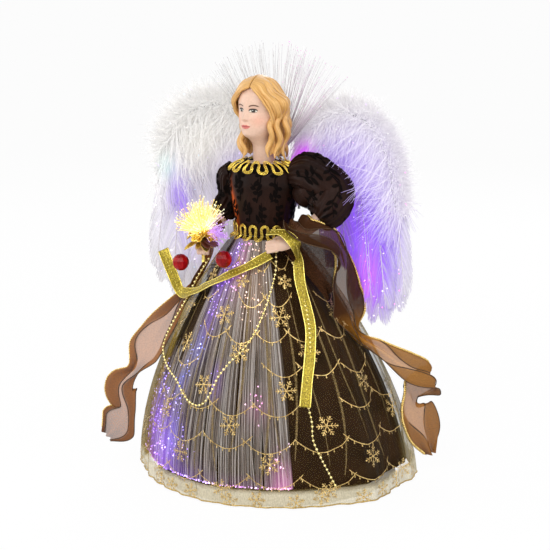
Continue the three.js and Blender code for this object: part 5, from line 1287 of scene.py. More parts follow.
# Hair: one moulded sweep on each side of a middle parting, and curls at the neck
SKULL = vec(0, HEAD_Y, CHIN_Z + 0.55 * HEAD_H)
ROUND = vec(13.8, 14.7, 17.2)
# Down each side of the face: degrees round from the front, degrees up, growth, share of the flick
HAIRLINE = {
    1: ((22, 27, 1.7, 0.2), (39, 7, 2.4, 1.0), (53, -11, 2.2, 0.5), (64, -31, 1.9, 0.1)),
    -1: ((33, 25, 1.5, 0.2), (58, 4, 2.3, 1.0), (75, -13, 2.4, 0.6), (87, -31, 1.6, 0.1)),
}
FLICK = {1: 6.0, -1: 3.6}
NAPE_FROM = {1: 56, -1: 82}
NAPE = ((5, 14.4), (-3, 13.2), (-12, 11.4))
HAIR_LINES, HAIR_STEPS, HAIR_THICK = 90, 80, 1.6


def scalp(azimuth, height, side, grow):
    a, h = math.radians(azimuth), math.radians(height)
    d = vec(math.sin(a) * math.cos(h) * side, -math.cos(a) * math.cos(h), math.sin(h))
    return SKULL + d * (ROUND + grow)


def hair_line(side, q):
    """A line of hair from the parting to the collar; q runs from the face to the back of the head."""
    e = math.radians(40 + 95 * q)
    top = vec(0.4 * side, -math.cos(e) * (ROUND[1] + 1.6), math.sin(e) * (ROUND[2] + 1.8))
    first = HAIRLINE[side][0][0]
    over = scalp(0.5 * first + (178 - 0.5 * first) * q, 34 + 22 * math.sin(np.pi * q), side, 1.9)
    stops = [SKULL + top, over]
    for azimuth, height, grow, flick in HAIRLINE[side]:
        grow = grow + FLICK[side] * flick * hump(q - 0.3, 0.2)
        stops.append(scalp(azimuth + (176 - azimuth) * q, height, side, grow))
    a = math.radians(NAPE_FROM[side] + (178 - NAPE_FROM[side]) * q)
    out = vec(math.sin(a) * side, -math.cos(a), 0)
    for rise, radius in NAPE:
        rise = rise + 1.3 * math.sin(19 * q) * (rise < 0)
        stops.append(vec(0, HEAD_Y + 3, CHIN_Z + rise) + out * (radius + 0.8 * math.sin(17 * q + rise)))
    return spline(stops, HAIR_STEPS)


def hair_sweep(side):
    q = np.linspace(0, 1, HAIR_LINES)
    lines = np.stack([hair_line(side, k) for k in q], 1)
    t = np.linspace(0, 1, HAIR_STEPS)[:, None]
    axis = lines * [0, 0, 1] + vec(0, HEAD_Y, 0)
    axis[..., 2] = np.minimum(axis[..., 2], SKULL[2])
    out = unit(lines - axis)
    groove = 0.75 * np.sin(TURN * (6.5 * q + 0.3 * np.sin(5 * t)))
    groove = groove + 0.3 * np.sin(TURN * (17 * q + 0.2 * t))
    wave = np.sin(14 * t + 5 * q) * ease(t, 0.3, 0.55)
    lift = groove * ease(t, 0.02, 0.25) + wave
    return grid(lines + out * lift[..., None])


def curl(start, end, turns, swing, fat, seed):
    """A ringlet."""
    t = np.linspace(0, 1, 60)
    phase = TURN * turns * t + seed
    round_line = np.stack([np.cos(phase), np.sin(phase), 0 * t], -1) * (swing * ease(t, 0, 0.3))[:, None]
    path = vec(*start) + (vec(*end) - vec(*start)) * t[:, None] + round_line
    radius = fat * (0.5 + 0.5 * ease(t, 0, 0.2)) * (1 - 0.75 * ease(t, 0.75, 1))
    return tube(path, radius, 16, 0.8, None, 0.09, 6)


# Start, end, turns, swing, thickness and phase of each curl
CURLS = [
    ((17, -26, 258), (15, -27, 224), 1.7, 1.6, 2.5, 0), ((13, -30, 252), (11, -31, 225), 1.5, 1.3, 2.2, 2),
    ((19.5, -20, 258), (16, -20, 223), 1.8, 1.6, 2.6, 1),
    ((16, -14, 256), (13, -13, 223), 1.7, 1.5, 2.5, 3),
    ((9, -12, 252), (8, -10, 223), 1.5, 1.4, 2.4, 4), ((2, -10, 252), (1, -8, 223), 1.5, 1.4, 2.4, 1),
    ((-6, -11, 252), (-6, -9, 223), 1.5, 1.4, 2.4, 2), ((-12, -15, 252), (-12, -14, 223), 1.5, 1.4, 2.4, 0),
    ((-13.5, -21, 250), (-13, -23, 224), 1.5, 1.4, 2.3, 2),
    ((-12.5, -26, 247), (-11, -28, 224), 1.5, 1.4, 2.2, 4),
    ((-10, -29, 240), (-7.5, -31.5, 223), 1.3, 1.2, 1.7, 1),
]
sweep = joined([hair_sweep(side) for side in (1, -1)])
thicken(piece("golden_sweep", sweep, HAIR, ("hair",)), HAIR_THICK)
piece("golden_curls", joined([curl(*c) for c in CURLS]), HAIR)


# Hands
FOREARM_RADIUS, WRIST_RADIUS, FINGER_PITCH, HAND_VOXEL = 5.2, 3.6, 2.2, 0.4
FINGER_ROOT, FINGER_TIP, THUMB_ROOT, THUMB_TIP = 1.4, 1.0, 1.5, 0.95


def hand(name, node, arm, fist, roll, drop):
    """A hand and forearm; roll turns the thumb up, drop lowers the wrist and fingers."""
    _, _, forearm, wrist, fingers = arm
    wrist, fingers = wrist - vec(0, 0, drop), fingers - vec(0, 0, drop)
    ahead = unit(fingers - wrist)
    level = unit(np.cross(ahead, vec(0, 0, 1)))
    across = level * math.cos(roll) + np.cross(level, ahead) * math.sin(roll)
    up = np.cross(across, ahead)
    reach = np.linalg.norm(fingers - wrist)
    lower = forearm + (wrist - forearm) * np.linspace(0.1, 1, 20)[:, None]
    shapes = [plain(tube(lower, np.linspace(FOREARM_RADIUS, WRIST_RADIUS, 20), 16))]
    palm = spline([wrist - ahead * 1.5, wrist + ahead * reach * 0.3, wrist + ahead * reach * 0.62], 12)
    palm_half = 3.4 + 1.2 * np.sin(np.linspace(0, 2.6, 12)) - 0.9 * ease(np.arange(12), 8, 11)
    shapes.append(plain(tube(palm, palm_half, 16, 0.55, across)))
    bend = 0.95 if fist else 0.3
    for k in range(4):
        root = wrist + ahead * reach * 0.55 + across * (k - 1.5) * FINGER_PITCH
        tip = reach * (0.62 - 0.05 * abs(k - 1.2))
        route = spline([
            root, root + ahead * tip * 0.45 - up * 0.6 * bend, root + ahead * tip * 0.8 - up * 2.2 * bend,
            root + ahead * tip * (1.0 - 0.3 * bend) - up * 4.2 * bend,
        ], 18)
        shapes.append(plain(tube(route, np.linspace(FINGER_ROOT, FINGER_TIP, 18), 12)))
    thumb = spline([
        wrist + ahead * reach * 0.22 + across * 3, wrist + ahead * reach * 0.45 + across * 5.2 - up * 0.8,
        wrist + ahead * reach * 0.72 + across * 5.0 - up * 2.0,
    ], 16)
    shapes.append(plain(tube(thumb, np.linspace(THUMB_ROOT, THUMB_TIP, 16), 12)))
    obj = piece(name, joined(shapes), HAND_SKIN, (node,))
    fuse = obj.modifiers.new("fuse", "REMESH")
    fuse.mode = "VOXEL"
    fuse.voxel_size = HAND_VOXEL * MM
    fuse.use_smooth_shade = True
    even = obj.modifiers.new("even", "SMOOTH")
    even.factor = 0.5
    even.iterations = 3


hand("left_doll_hand", "left_hand", LEFT, False, math.radians(62), 2.8)
hand("right_doll_hand", "right_hand", RIGHT, True, 0.0, 0.0)

# Halo
HALO_STRANDS, HALO_REACH, HALO_FAN, HALO_ROOT = 200, 75.0, 42.0, vec(0, -2.6, 224.5)
HALO_STEPS, HALO_TOP, HALO_UNEVEN, HALO_ROUND = 12, 303, 17, 7
HALO_ROOT_HALF, HALO_THICK, HALO_THIN = 5.2, 0.14, 0.08
CLIP_HALF, CLIP_RADIUS, CLIP_DROP = 6, 2.2, 0.9


def add_halo():
    lean = rng.uniform(-1, 1, HALO_STRANDS)
    lean = lean * 0.6 + np.round(lean * 9) / 9 * 0.4 + rng.normal(0, 0.02, HALO_STRANDS)
    reach = HALO_REACH - HALO_UNEVEN * rng.random(HALO_STRANDS) ** 2 - HALO_ROUND * lean**2
    sway = rng.normal(0, 1, (HALO_STRANDS, 2))
    t = np.linspace(0, 1, HALO_STEPS)
    fan = np.radians(HALO_FAN * lean)
    x = HALO_ROOT_HALF * lean[:, None] + np.sin(fan)[:, None] * reach[:, None] * t
    x = x + 2.0 * sway[:, :1] * t**2
    depth = rng.uniform(-1.4, 1.4, HALO_STRANDS)[:, None] + 2.6 * sway[:, 1:] * t**1.5
    y = HALO_ROOT[1] + depth + np.sin(6 * t + sway[:, :1])
    z = np.minimum(HALO_ROOT[2] + np.cos(fan)[:, None] * reach[:, None] * t, HALO_TOP)
    paths = spread(x, y, z)
    paint = rng.uniform(0.5, 0.92, (HALO_STRANDS, 1)) * vec(1, 0.98, 0.98)
    pink = ease(x, -8, 30)[..., None] * ease(t, 0.1, 0.6)[None, :, None]
    glow = pink * vec(0.16, 0.05, 0.17) * rng.random((HALO_STRANDS, 1, 1))
    strands = hairs(paths, np.linspace(HALO_THICK, HALO_THIN, HALO_STEPS), paint, glow)
    bar = spread(np.linspace(-CLIP_HALF, CLIP_HALF, 20), HALO_ROOT[1], HALO_ROOT[2] - CLIP_DROP)
    clip = coloured(tube(bar, CLIP_RADIUS, 14), vec(0.5, 0.48, 0.46))
    piece("halo_strands", joined([strands, clip]), FIBRE, ("halo_fibres",))
    nicks = paths[rng.integers(0, HALO_STRANDS, 70), rng.integers(4, 11, 70)]
    tips = np.concatenate([paths[::2, -1], nicks])
    hue = np.where(tips[:, :1] > 4, vec(1, 0.5, 0.85), vec(0.9, 0.9, 0.95))
    hue = hue * rng.uniform(0.5, 0.95, (len(tips), 1))
    lit_points("halo_lit_points", tips, (0.18, 0.36), hue * 0.6, hue * 0.7)


add_halo()

# Wings, in places outward, back and up from each hinge
WING_X, WING_Y, WING_TURN = 9.0, 14.0, math.radians(12)
ARCH = [(1, 62), (15, 71), (38, 82), (62, 76), (79, 54), (86, 22)]
DOWN_STEPS, DOWN_PLACES = 90, (0, 20, 66, 73, 89)
DOWN_REACH = {1: (0.8, 0.8, 0.7, 0.6, 0.5), -1: (0.8, 1, 1, 0.5, 0.12)}
# Root, tip and width of each feather
FEATHERS = [
    ((22, 70), (34, -20), 27), ((41, 77), (54, -40), 29), ((58, 71), (70, -55), 28),
    ((71, 58), (84, -46), 22),
]
SHAFT_STEPS, BARB_STEPS, WING_SHINE = 46, 7, 1.5
FEATHER_BEND, FEATHER_CURVE, BARBS_PER_MM, BARB_ROOT, BARB_TIP = 3.5, 2.2, 2.0, 1.2, 0.4
QUILL_ROOT, QUILL_TIP = 0.7, 0.2
# Shift outward and up at the tip, share of the width and shift back of each layer of a plume
PLUME_LAYERS = ((0, 0, 1, 0), (-7, 14, 0.8, 0.8), (7, 9, 0.75, -0.7))
STUFFING_RADIUS, STUFFING_SIDES, DOWN_ROOT, DOWN_TIP = 3.0, 20, 0.75, 0.15
WING_MIDDLE = vec(35, 0, 10)
# The down trim's depth, and the white glow painted on the down to lighten its shade
DOWN_Y, DOWN_FILL_GLOW = 2.0, 0.1
LILAC, MINT, CREAM = vec(0.55, 0.4, 1.0), vec(0.35, 0.9, 0.85), vec(1.0, 0.95, 0.82)


def wing(side, local):
    """Wing places as places on the angel."""
    local = np.asarray(local, float)
    c, s = math.cos(-side * WING_TURN), math.sin(-side * WING_TURN)
    x, y = side * local[..., 0], local[..., 1]
    return spread(side * WING_X + c * x - s * y, WING_Y + s * x + c * y, WAIST_Z + local[..., 2])


# Colour, strength, place outward and its spread, height and its spread, for each wing
WING_GLOWS = {
    1: [(VIOLET, 0.5, 34, 24, 18, 34), (VIOLET, 0.75, 62, 20, -14, 36), (MAGENTA, 1.0, 12, 9, 47, 9),
        (LILAC, 0.16, 60, 26, 46, 30), (MAGENTA, 0.4, 60, 10, -30, 16)],
    -1: [(LILAC, 0.2, 60, 24, -8, 30), (VIOLET, 0.34, 70, 5, 12, 20), (MINT, 0.12, 78, 7, 38, 8),
         (LILAC, 0.24, 26, 14, 34, 16), (CREAM, 0.1, 52, 16, 52, 14)],
}


def wing_light(side, local):
    """The light that the lamp's fibres spread over a wing."""
    return patches(WING_GLOWS[side], local[..., 0], local[..., 2])


def lit_down(tone, light):
    """White down, its own colour giving way where coloured light fills it."""
    share = np.clip(1.5 * light.max(-1, keepdims=True), 0, 0.88)
    return tone * (1 - share) + unit(light + 1e-6) * 0.5 * share


def pale_glow(light):
    """Light painted as glow on the down: the coloured light, plus a little painted white glow that lightens
    its shade where that light is weak.
    """
    return light + DOWN_FILL_GLOW * np.clip(1 - 2.5 * light.max(-1, keepdims=True), 0, 1)


def feather(side, root, tip, wide, layer, seed):
    """Barbs on both sides of a shaft, lying close along it to make a vane."""
    own = np.random.default_rng(seed)
    root, away = vec(*root), vec(*tip) - vec(*root)
    t = np.linspace(0, 1, SHAFT_STEPS)
    length = np.linalg.norm(away)
    lean = vec(-away[1], away[0]) / length
    bend = FEATHER_BEND * np.sin(np.pi * t) * own.uniform(-1, 1)
    shaft = root + away * t[:, None] + lean * bend[:, None]
    depth = layer + FEATHER_CURVE * np.sin(np.pi * t * 0.8) * own.uniform(0.3, 1)
    shaft = np.stack([shaft[:, 0], depth, shaft[:, 1]], -1)
    count = int(length * BARBS_PER_MM)
    k = np.linspace(0, 1, BARB_STEPS)
    barbs = []
    for sign in (1, -1):
        at = (np.arange(count) + own.random(count)) / count * 0.97
        half = wide / 2 * np.clip(np.sin(np.pi * np.clip(at * 0.9 + 0.12, 0, 1)), 0, 1) ** 0.6
        half = half * own.uniform(0.8, 1.05, count)
        run = half[:, None] * (0.75 * k + 0.25 * k**0.5)
        ahead = half[:, None] * (1.6 * k + 1.2 * k**2) + own.normal(0, 0.6, (count, 1)) * k
        place = np.clip(at[:, None] + ahead / length, 0, 1.05)
        base = np.stack([np.interp(np.minimum(place, 1), t, shaft[:, j]) for j in range(3)], -1)
        over = (np.maximum(place, 1) - 1)[..., None] * vec(away[0], 0, away[1])
        out = sign * run[..., None] * vec(lean[0], 0, lean[1])
        cup = (0.05 * run**1.3 + own.normal(0, 0.25, (count, 1)) * k)[..., None] * vec(0, 1, 0)
        barbs.append(base + over + out + cup)
    local = np.concatenate(barbs)
    light = wing_light(side, local) * own.uniform(0.4, 1.3, (len(local), 1, 1))
    tone = lit_down(own.uniform(0.62, 0.86, (len(local), 1, 1)) * vec(0.97, 0.95, 1.0), light)
    face = wing(side, vec(0, 1, 0)) - wing(side, vec(0, 0, 0))
    width = np.linspace(BARB_ROOT, BARB_TIP, BARB_STEPS)
    vane = strips(wing(side, local), width, face, tone, pale_glow(light))
    quill = tube(wing(side, shaft), np.linspace(QUILL_ROOT, QUILL_TIP, SHAFT_STEPS), 6)
    # A faint violet glow is painted on the quill.
    stem = coloured(quill, vec(0.72, 0.69, 0.7), vec(0.03, 0.02, 0.05))
    return [vane, stem], local


def add_plumes(side, name):
    spots = []
    for k, (root, tip, wide) in enumerate(FEATHERS):
        parts = []
        for j, (dx, dz, slim, dy) in enumerate(PLUME_LAYERS):
            seed = 100 * k + 10 * j + (side > 0)
            moved = (root[0] + 0.5 * dx, root[1]), (tip[0] + dx, tip[1] + dz)
            shapes, local = feather(side, *moved, wide * slim, 1.8 * (k % 2) + dy, seed)
            parts += shapes
            spots.append(local[rng.integers(0, len(local), 12), rng.integers(1, BARB_STEPS, 12)])
        node = f"{name}_feather_{k + 1}"
        piece(f"{name}_plume_{k + 1}", joined(parts), DOWN, (node,), f"{name}_wing")
    return np.concatenate(spots)


def down_strands(side, core, count, out_share, down_share, reach, width, tone, front=0.0):
    """Soft barbs that leave the down trim outward, or down over the wing."""
    at = rng.integers(0, len(core), count)
    t = np.linspace(0, 1, BARB_STEPS)
    tangent = unit(np.gradient(core, axis=0))[at]
    plane = np.cross(tangent, vec(0, 1, 0))
    plane = plane * np.sign((plane * (core[at] - WING_MIDDLE)).sum(1, keepdims=True))
    way = plane * out_share + vec(0, -front, -down_share) + vec(0, 1, 0) * rng.normal(0, 0.38, (count, 1))
    way = unit(way + tangent * rng.normal(0, 0.45, (count, 1)) + 0.15 * rng.normal(size=(count, 3)))
    outward = np.interp(at, DOWN_PLACES, DOWN_REACH[side])
    far = rng.uniform(*reach, count) * (outward if out_share > 0 else 0.4 + 0.6 * outward)
    bend = unit(rng.normal(size=(count, 3))) * 0.4 + vec(0, 0, -0.15)
    start = core[at] + rng.normal(0, 2.2, (count, 3)) * [1, 0.8, 1] - vec(0, 2 * front, 0)
    local = start[:, None] + way[:, None] * (far[:, None] * t)[..., None]
    local = local + bend[:, None] * (far[:, None] * 0.5 * t**2)[..., None]
    light = wing_light(side, local)
    paint = lit_down(rng.uniform(*tone, (count, 1, 1)) * vec(1, 0.985, 0.97), light)
    face = unit(vec(0, 1, 0) + 0.6 * rng.normal(size=(count, 3)))
    return strips(wing(side, local), width, face, paint, pale_glow(light)), local


def add_down(side, name):
    core = spline([(x, DOWN_Y, z) for x, z in ARCH], DOWN_STEPS)
    size = np.linspace(1, 0.5, DOWN_STEPS)
    base = tube(wing(side, core), STUFFING_RADIUS * size, STUFFING_SIDES, 0.7, vec(0, 1, 0))
    around = np.repeat(core, STUFFING_SIDES, axis=0)
    light = wing_light(side, np.vstack([around, core[:1], core[-1:]]))
    stuffing = coloured(base, lit_down(vec(0.8, 0.78, 0.76), light), pale_glow(light))
    wide = np.linspace(DOWN_ROOT, DOWN_TIP, BARB_STEPS)
    under, local = down_strands(side, core, 7000, -0.35, 0.9, (20, 46), wide, (0.82, 0.92))
    near, _ = down_strands(side, core, 6500, 0.6, 0.0, (8, 18), wide * 0.8, (0.86, 0.94))
    tuft, _ = down_strands(side, core, 3500, 0.2, 0.5, (7, 15), wide, (0.84, 0.93), 0.35)
    wisps, far = down_strands(side, core, 2600, 0.9, 0.0, (12, 24), wide * 0.35, (0.7, 0.9))
    cover, _ = down_strands(side, core, 2600, 0.15, 0.3, (4, 8), wide, (0.86, 0.94), 0.7)
    shape = joined([under, near, tuft, wisps, cover, stuffing])
    piece(f"{name}_down_trim", shape, DOWN, (f"{name}_marabou",), f"{name}_wing")
    picks = [local[rng.integers(0, len(local), 70), rng.integers(2, BARB_STEPS, 70)]]
    picks.append(far[rng.integers(0, len(far), 30), rng.integers(2, BARB_STEPS, 30)])
    return np.concatenate(picks)


for side, name in ((1, "left"), (-1, "right")):
    # Sparkles of light painted as glowing points on the feathers and down
    spots = np.concatenate([add_plumes(side, name), add_down(side, name)]) + vec(0, -0.8, 0)
    chance = rng.random((len(spots), 1))
    rare = PINK if side > 0 else vec(0.5, 0.75, 1.0)
    hue = np.where(chance < 0.5, WHITE, np.where(chance < 0.8, vec(0.7, 0.5, 1.0), rare))
    places = wing(side, spots)
    lit_points(f"{name}_wing_lit_points", places, (0.22, 0.5), hue * 0.5, hue * WING_SHINE, f"{name}_wing")

# Stoles
STOLE_WIDTH, STOLE_STEPS = 38.0, 260
GOLD_EDGE, THIN_EDGE, TWIST_PITCH, DARK_EDGE_RADIUS = 0.58, 0.26, 3.2, 0.34
TWIST_STEPS, STOLE_COLS = 700, 21
FOLD_STEPS, FOLD_TONE, FOLD_CLOSE = 80, vec(0.045, 0.018, 0.008), vec(0.97, 0.97, 0.97)


def twisted(line, ply):
    """Two plies wound about a line."""
    fine = spline(line[::4], TWIST_STEPS)
    _, a, b = frames(fine)
    turn = np.linspace(0, long(fine) / TWIST_PITCH * TURN, TWIST_STEPS)[:, None]
    return [
        tube(fine + 0.9 * ply * (a * np.cos(turn + k) + b * np.sin(turn + k)), ply, 6)
        for k in (0, np.pi)
    ]


def stole_fold():
    """The dark fold of the left stole that hangs from the arm to the skirt, edged with gold."""
    outer = [
        vec(30, -38, 180.6), vec(43.5, -32, 172.8), vec(55.5, -22, 163.2), vec(56, -20, 156.7),
        vec(52.5, -18, 136.8),
    ]
    places = ((-38, 0.04), (-30, 0.08), (-22, 0.13), (-15, 0.19), (-10, 0.25))
    edge = spline(outer, FOLD_STEPS)
    lower = spline([hang(degrees, level, 4)[0] for degrees, level in places], FOLD_STEPS)
    v = np.linspace(0, 1, 15)[None, :, None]
    s = np.linspace(0, 1, FOLD_STEPS)[:, None, None]
    out = unit(np.cross(np.gradient(edge, axis=0), lower - edge))[:, None]
    wave = 1.2 * np.sin(9 * v + 4 * s) * np.sin(np.pi * v)
    at = edge[:, None] * (1 - v) + lower[:, None] * v + out * wave
    shape = grid(at, paint=FOLD_TONE, veil=FOLD_CLOSE)
    cloth_fold = piece("organza_stole_left_fold", shape, ORGANZA)
    chain = piece("organza_stole_left_chain", joined(twisted(edge, GOLD_EDGE)), EDGE)
    return [cloth_fold, chain]


def stole(name, stops, node, tones, openness, gold_edge, ply, seed, folds=()):
    """A sheer band through stops; tones are share along, colour and closeness."""
    at, face, wide = zip(*stops)
    path, face, wide = spline(at, STOLE_STEPS, face, wide)
    face, across = facing(path, face)
    v = np.linspace(-1, 1, STOLE_COLS)[None, :]
    s = np.linspace(0, long(path), STOLE_STEPS)[:, None]
    w = np.clip(wide, 0.2, 1.05) * STOLE_WIDTH / 2
    slack = (1.05 - np.clip(wide, 0.2, 1)) * 3.2
    wave = slack * np.sin(v * 7 + seed) * 0.9 + 1.1 * np.sin(s / 9 + seed + 2.0 * v) * np.abs(v)
    top = path[:, None] + across[:, None] * (w * v)[..., None] + face[:, None] * wave[..., None]
    share = np.linspace(0, 1, STOLE_STEPS)
    places, *columns = zip(*tones)
    marks = [np.interp(share, places, column)[:, None, None] for column in columns]
    low, high = -0.45 + 0.35 * np.sin(s / 13 + seed), 0.4 + 0.35 * np.sin(s / 11 + 2 * seed)
    doubled = np.maximum(ease(low - v, -0.08, 0.08), ease(v - high, -0.08, 0.08))[..., None]
    paint = np.concatenate(marks[:3], -1) * (1.5 - 0.5 * doubled)
    closeness = marks[3] * (1 - openness * (1 - doubled)) * np.ones(3)
    shape = grid(top, paint=paint.reshape(-1, 3), veil=closeness.reshape(-1, 3))
    obj = piece(name, shape, ORGANZA, (node,))
    gold = piece(name + "_gold_edge", joined(twisted(top[:, gold_edge], ply)), EDGE)
    lines = [top[:, -1 - gold_edge]]
    for line in (low, high):
        lines.append(path + across * (w * line) + face * (0.3 + slack * np.sin(line * 7 + seed) * 0.9))
    rims = [tube(line, DARK_EDGE_RADIUS, 6) for line in lines]
    dark = piece(name + "_dark_edge", joined(rims), BRONZE_EDGE)


stole("organza_stole_left", [
    beside(LEFT_STOP, (-7.5, 6, -9), (-0.7, 0.65, 0.2), 0.24),
    beside(LEFT_STOP, (-5, 4.5, -1.2), (-0.5, 0.5, 0.7), 0.32),
    (LEFT_STOP, LEFT_STOP_FACE, 0.45), beside(LEFT_STOP, (9, -6, -3.5), (0.5, -0.5, 0.7), 0.5),
    hang(-14, 0.1, 34, 0.5, -20), hang(0, 0.16, 24, 0.5, -13), hang(2, 0.24, 15, 0.65, -24),
    hang(5, 0.31, 8, 0.8, -27), hang(5, 0.39, 4, 0.2, -22), hang(15, 0.48, 9, 0.32, -38),
    hang(20, 0.59, 20, 0.6, -45), hang(24, 0.67, 32, 0.6, 5), hang(25, 0.69, 15, 0.75, 125),
    hang(21, 0.74, 14, 0.8, 136), hang(22, 0.86, 16, 0.65, 127), hang(23, 0.94, 17, 0.2, 124),
], "stole_left", [
    (0, 0.05, 0.02, 0.009, 1), (0.4, 0.06, 0.024, 0.01, 1), (0.5, 0.36, 0.15, 0.02, 1),
    (0.62, 0.36, 0.17, 0.05, 1), (1, 0.28, 0.12, 0.035, 1),
], 0.14, 0, GOLD_EDGE, 0.4, stole_fold())
stole("organza_stole_right", [
    beside(RIGHT_STOP, (6, 2.5, -4.5), (0.8, 0.3, 0.5), 0.25), (RIGHT_STOP, RIGHT_STOP_FACE, 0.3),
    beside(RIGHT_STOP, (-8.5, 1, -3.5), (-0.8, -0.2, 0.6), 0.28), hang(-174, 0.13, 9, 0.3, 10),
    hang(-167, 0.24, 6, 0.3, 25), hang(-159, 0.34, 8, 0.4, 60), hang(-155, 0.45, 14, 0.65, 52),
    hang(-152, 0.53, 18, 0.78, 45), hang(-152, 0.61, 20, 0.27, 46), hang(-153, 0.68, 26, 0.62, 60),
    hang(-149, 0.76, 21, 0.58, 40), hang(-150, 0.82, 24, 0.77, 57), hang(-151, 0.87, 31, 0.25, 60),
], "stole_right", [
    (0, 0.16, 0.055, 0.015, 1), (0.4, 0.25, 0.09, 0.025, 1), (0.55, 0.3, 0.13, 0.05, 1),
    (0.75, 0.3, 0.12, 0.04, 1), (1, 0.17, 0.06, 0.016, 1),
], 0.26, -1, THIN_EDGE, 1.7)

# Bouquet
GRIP, CUP_Z, STEM_LOW, STEM_TOP = vec(-31.4, -45.4, 163.3), 169.8, 152.3, 171
SPRAY_ROOT, SPRAY_AXIS, SPRAY_COUNT = vec(-31.4, -45.4, 172.5), unit(vec(-0.1, -0.3, 0.9)), 640
SIDE_SPRAY, SIDE_AXIS = 120, unit(vec(0.8, 0.1, 0.0))
SPRAY_FAN, SPRAY_REACH, SIDE_REACH, SPRAY_RADIUS = math.radians(62), (10, 24), (6, 18), 0.22
STEM_RADIUS, CUP_LOW_RADIUS, CUP_SPREAD, CUP_HEIGHT, CUP_THICK = 1.4, 1.6, 5.6, 7.5, 0.3
# Size, count and cup of a flower's outer and inner petals
FLOWER_RINGS = ((6.4, 6, 2.2), (4.2, 5, 3.0))
FLOWER_OUT, FLOWER_RISE, FOIL_THICK = 6.8, 2.2, 0.2
LEAF_LONG, LEAF_WIDE, SIDE_LEAF_LONG, SIDE_LEAF_WIDE, LEAF_CUP, LEAF_LEAN = 14.5, 7.5, 10, 4.6, 0.8, 40
# Degrees round, rise and length of the satin petals
SATIN_PETALS = ((-30, -0.4, 15), (-52, -0.5, 14), (-12, -0.5, 13))
SATIN_WIDE, SATIN_CUP, SATIN_THICK = 8.5, 2.0, 0.25
BERRIES, BERRY_RADIUS = (vec(-46.9, -49.9, 151.3), vec(-9.9, -54.4, 157.8)), 5.8


def add_spray():
    lean = SPRAY_FAN * rng.random(SPRAY_COUNT) ** 0.6
    spin = rng.uniform(0, TURN, SPRAY_COUNT)
    e1 = unit(np.cross(SPRAY_AXIS, vec(0, 0, 1)))
    e2 = np.cross(SPRAY_AXIS, e1)
    around = e1 * np.cos(spin)[:, None] + e2 * np.sin(spin)[:, None]
    out = SPRAY_AXIS * np.cos(lean)[:, None] + around * np.sin(lean)[:, None]
    out[:SIDE_SPRAY] = unit(SIDE_AXIS + rng.normal(0, 0.28, (SIDE_SPRAY, 3)))
    t = np.linspace(0, 1, 9)
    reach = rng.uniform(*SPRAY_REACH, SPRAY_COUNT) * np.cos(0.55 * lean)
    reach[:SIDE_SPRAY] = rng.uniform(*SIDE_REACH, SIDE_SPRAY)
    spray = SPRAY_ROOT + out[:, None] * (reach[:, None] * t)[..., None]
    spray = spray + rng.normal(0, 1.1, (SPRAY_COUNT, 1, 3)) * (t**2)[:, None]
    tones = np.array([(1.0, 0.7, 0.16), (1.0, 0.86, 0.3), (1.0, 0.95, 0.6)])
    warm = tones[rng.integers(0, 3, SPRAY_COUNT)]
    beside_body = ease(out @ vec(0.7, 0.35, -0.5), 0.0, 0.5)[:, None]
    warm = warm * (1 - 0.85 * beside_body) + vec(0.6, 0.35, 1.0) * 0.85 * beside_body
    warm[:SIDE_SPRAY] = vec(0.5, 0.27, 0.7)
    far = np.linalg.norm(spray - SPRAY_ROOT, axis=-1)
    bright = (0.35 + 1.1 * hump(far - 4, 8))[..., None]
    shape = hairs(spray, SPRAY_RADIUS, warm * 0.7, warm[:, None] * bright)
    piece("bouquet_spray", shape, FIBRE, ("bouquet_fibres",))
    lit_points("bouquet_lit_points", spray[:, -1], (0.3, 0.55), warm * 0.6, (warm * 0.8 + 0.1) * 1.1)


def petal(centre, out, up, length, wide, cup, rows=9, cols=7):
    """A thin leaf or petal with a fold down its middle."""
    out, up = unit(out), unit(up)
    across = np.cross(out, up)
    t = np.linspace(0, 1, rows)[:, None]
    v = np.linspace(-1, 1, cols)[None, :]
    half = wide / 2 * np.sin(np.pi * np.clip(0.08 + 0.92 * t, 0, 1)) ** 0.7
    rise = cup * t**2 + 0.15 * wide * np.abs(v) * np.sin(np.pi * t)
    at = centre + out * (length * t)[..., None] + across * (half * v)[..., None] + up * rise[..., None]
    return plain(grid(at))


def level_way(degrees, rise=0.0):
    a = math.radians(degrees)
    return vec(math.cos(a), math.sin(a), rise)


def add_cup():
    wire = np.stack([np.full(12, GRIP[0]), np.full(12, GRIP[1]), np.linspace(STEM_LOW, STEM_TOP, 12)], -1)
    piece("bouquet_wire", tube(wire, STEM_RADIUS, 14, 1, None, 0.12, 4), FOIL)
    angle = np.linspace(0, TURN, 60, endpoint=False)[None, :]
    t = np.linspace(0, 1, 10)[:, None]
    flute = np.sin(9 * angle) * t
    radius = CUP_LOW_RADIUS + CUP_SPREAD * t**0.7 + 0.6 * flute
    z = CUP_Z - 3 + CUP_HEIGHT * t + 0.7 * flute
    cup = spread(GRIP[0] + radius * np.cos(angle), GRIP[1] + radius * np.sin(angle), z)
    thicken(piece("bouquet_cup", grid(cup, True), FOIL, ("bouquet_stem",)), CUP_THICK)


def add_flower(k, degrees):
    out = level_way(degrees)
    face = unit(out + vec(0, 0, 0.55))
    centre = vec(GRIP[0], GRIP[1], CUP_Z + FLOWER_RISE) + out * FLOWER_OUT
    p1 = unit(np.cross(face, vec(0, 0, 1)))
    p2 = np.cross(face, p1)
    shapes = []
    for size, count, cup in FLOWER_RINGS:
        for j in range(count):
            b = TURN * j / count + 0.3 * (count == 5)
            shapes.append(petal(centre, p1 * math.cos(b) + p2 * math.sin(b), face, size, size * 0.8, cup))
    thicken(piece(f"foil_flower_{k}", joined(shapes), FOIL, (f"flower_{k}",)), FOIL_THICK)
    heart = balls(centre + face * 1.2 + rng.normal(0, 0.7, (9, 3)), 0.7, 5, 8)
    piece(f"foil_flower_{k}_heart", heart, BEAD)


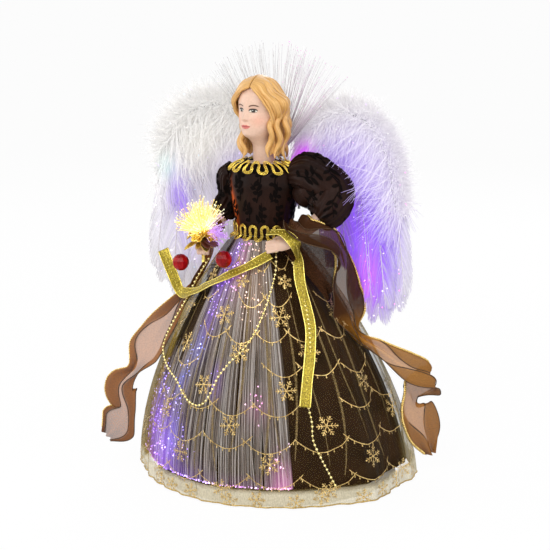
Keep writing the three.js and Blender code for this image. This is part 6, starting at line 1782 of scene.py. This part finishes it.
def add_leaf(k, degrees):
    base = vec(GRIP[0], GRIP[1], CUP_Z - 2) + level_way(degrees) * 2.4
    shapes = [petal(base, level_way(degrees, -0.5), vec(0, 0, 1), LEAF_LONG, LEAF_WIDE, LEAF_CUP, 14, 9)]
    for lean in (-LEAF_LEAN, LEAF_LEAN):
        out = level_way(degrees + lean, -0.65)
        shapes.append(petal(base, out, vec(0, 0, 1), SIDE_LEAF_LONG, SIDE_LEAF_WIDE, LEAF_CUP, 12, 7))
    thicken(piece(f"foil_leaf_{k}", joined(shapes), FOIL, (f"leaf_{k}",)), FOIL_THICK)


def add_satin_petals():
    base = vec(GRIP[0] + 3, GRIP[1] - 2, CUP_Z - 1)
    shapes = []
    for degrees, rise, size in SATIN_PETALS:
        out = level_way(degrees, rise)
        shapes.append(petal(base, out, vec(0, 0, 1), size, SATIN_WIDE, SATIN_CUP, 14, 9))
    thicken(piece("satin_petals", joined(shapes), PETAL_SATIN), SATIN_THICK)


add_spray()
add_cup()
for k, degrees in enumerate((-150, -85, -20)):
    add_flower(k + 1, degrees)
for k, degrees in enumerate((-115, -50)):
    add_leaf(k + 1, degrees)
add_satin_petals()
for k, place in enumerate(BERRIES):
    berry = balls(place[None], BERRY_RADIUS, 6, 9)
    piece(f"red_berry_{k + 1}", berry, BERRY, (f"berry_{k + 1}",), smooth=False)

# CAD nodes that stay
KEPT = {
    FORM: ["skirt_form"],
    MOULDING: ["bulkhead", "tree_socket", "lamp_housing", "battery_box", "battery_door", "wing_bracket"],
    BOARD: ["lamp_board"],
    CELL: ["cell_1", "cell_2", "cell_3"],
    SWITCH: ["switch_slider", "fibre_ferrule"],
    WIRE: ["door_pin", "left_arm_wire", "right_arm_wire", "left_wing_frame", "right_wing_frame"],
    CORE: ["torso_core"],
    TRUNK: ["fibre_trunk"],
}
for look, names in KEPT.items():
    for name in names:
        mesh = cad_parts[name].data
        mesh.materials.clear()
        mesh.materials.append(look.material)

bpy.context.scene.view_settings.view_transform = "Standard"
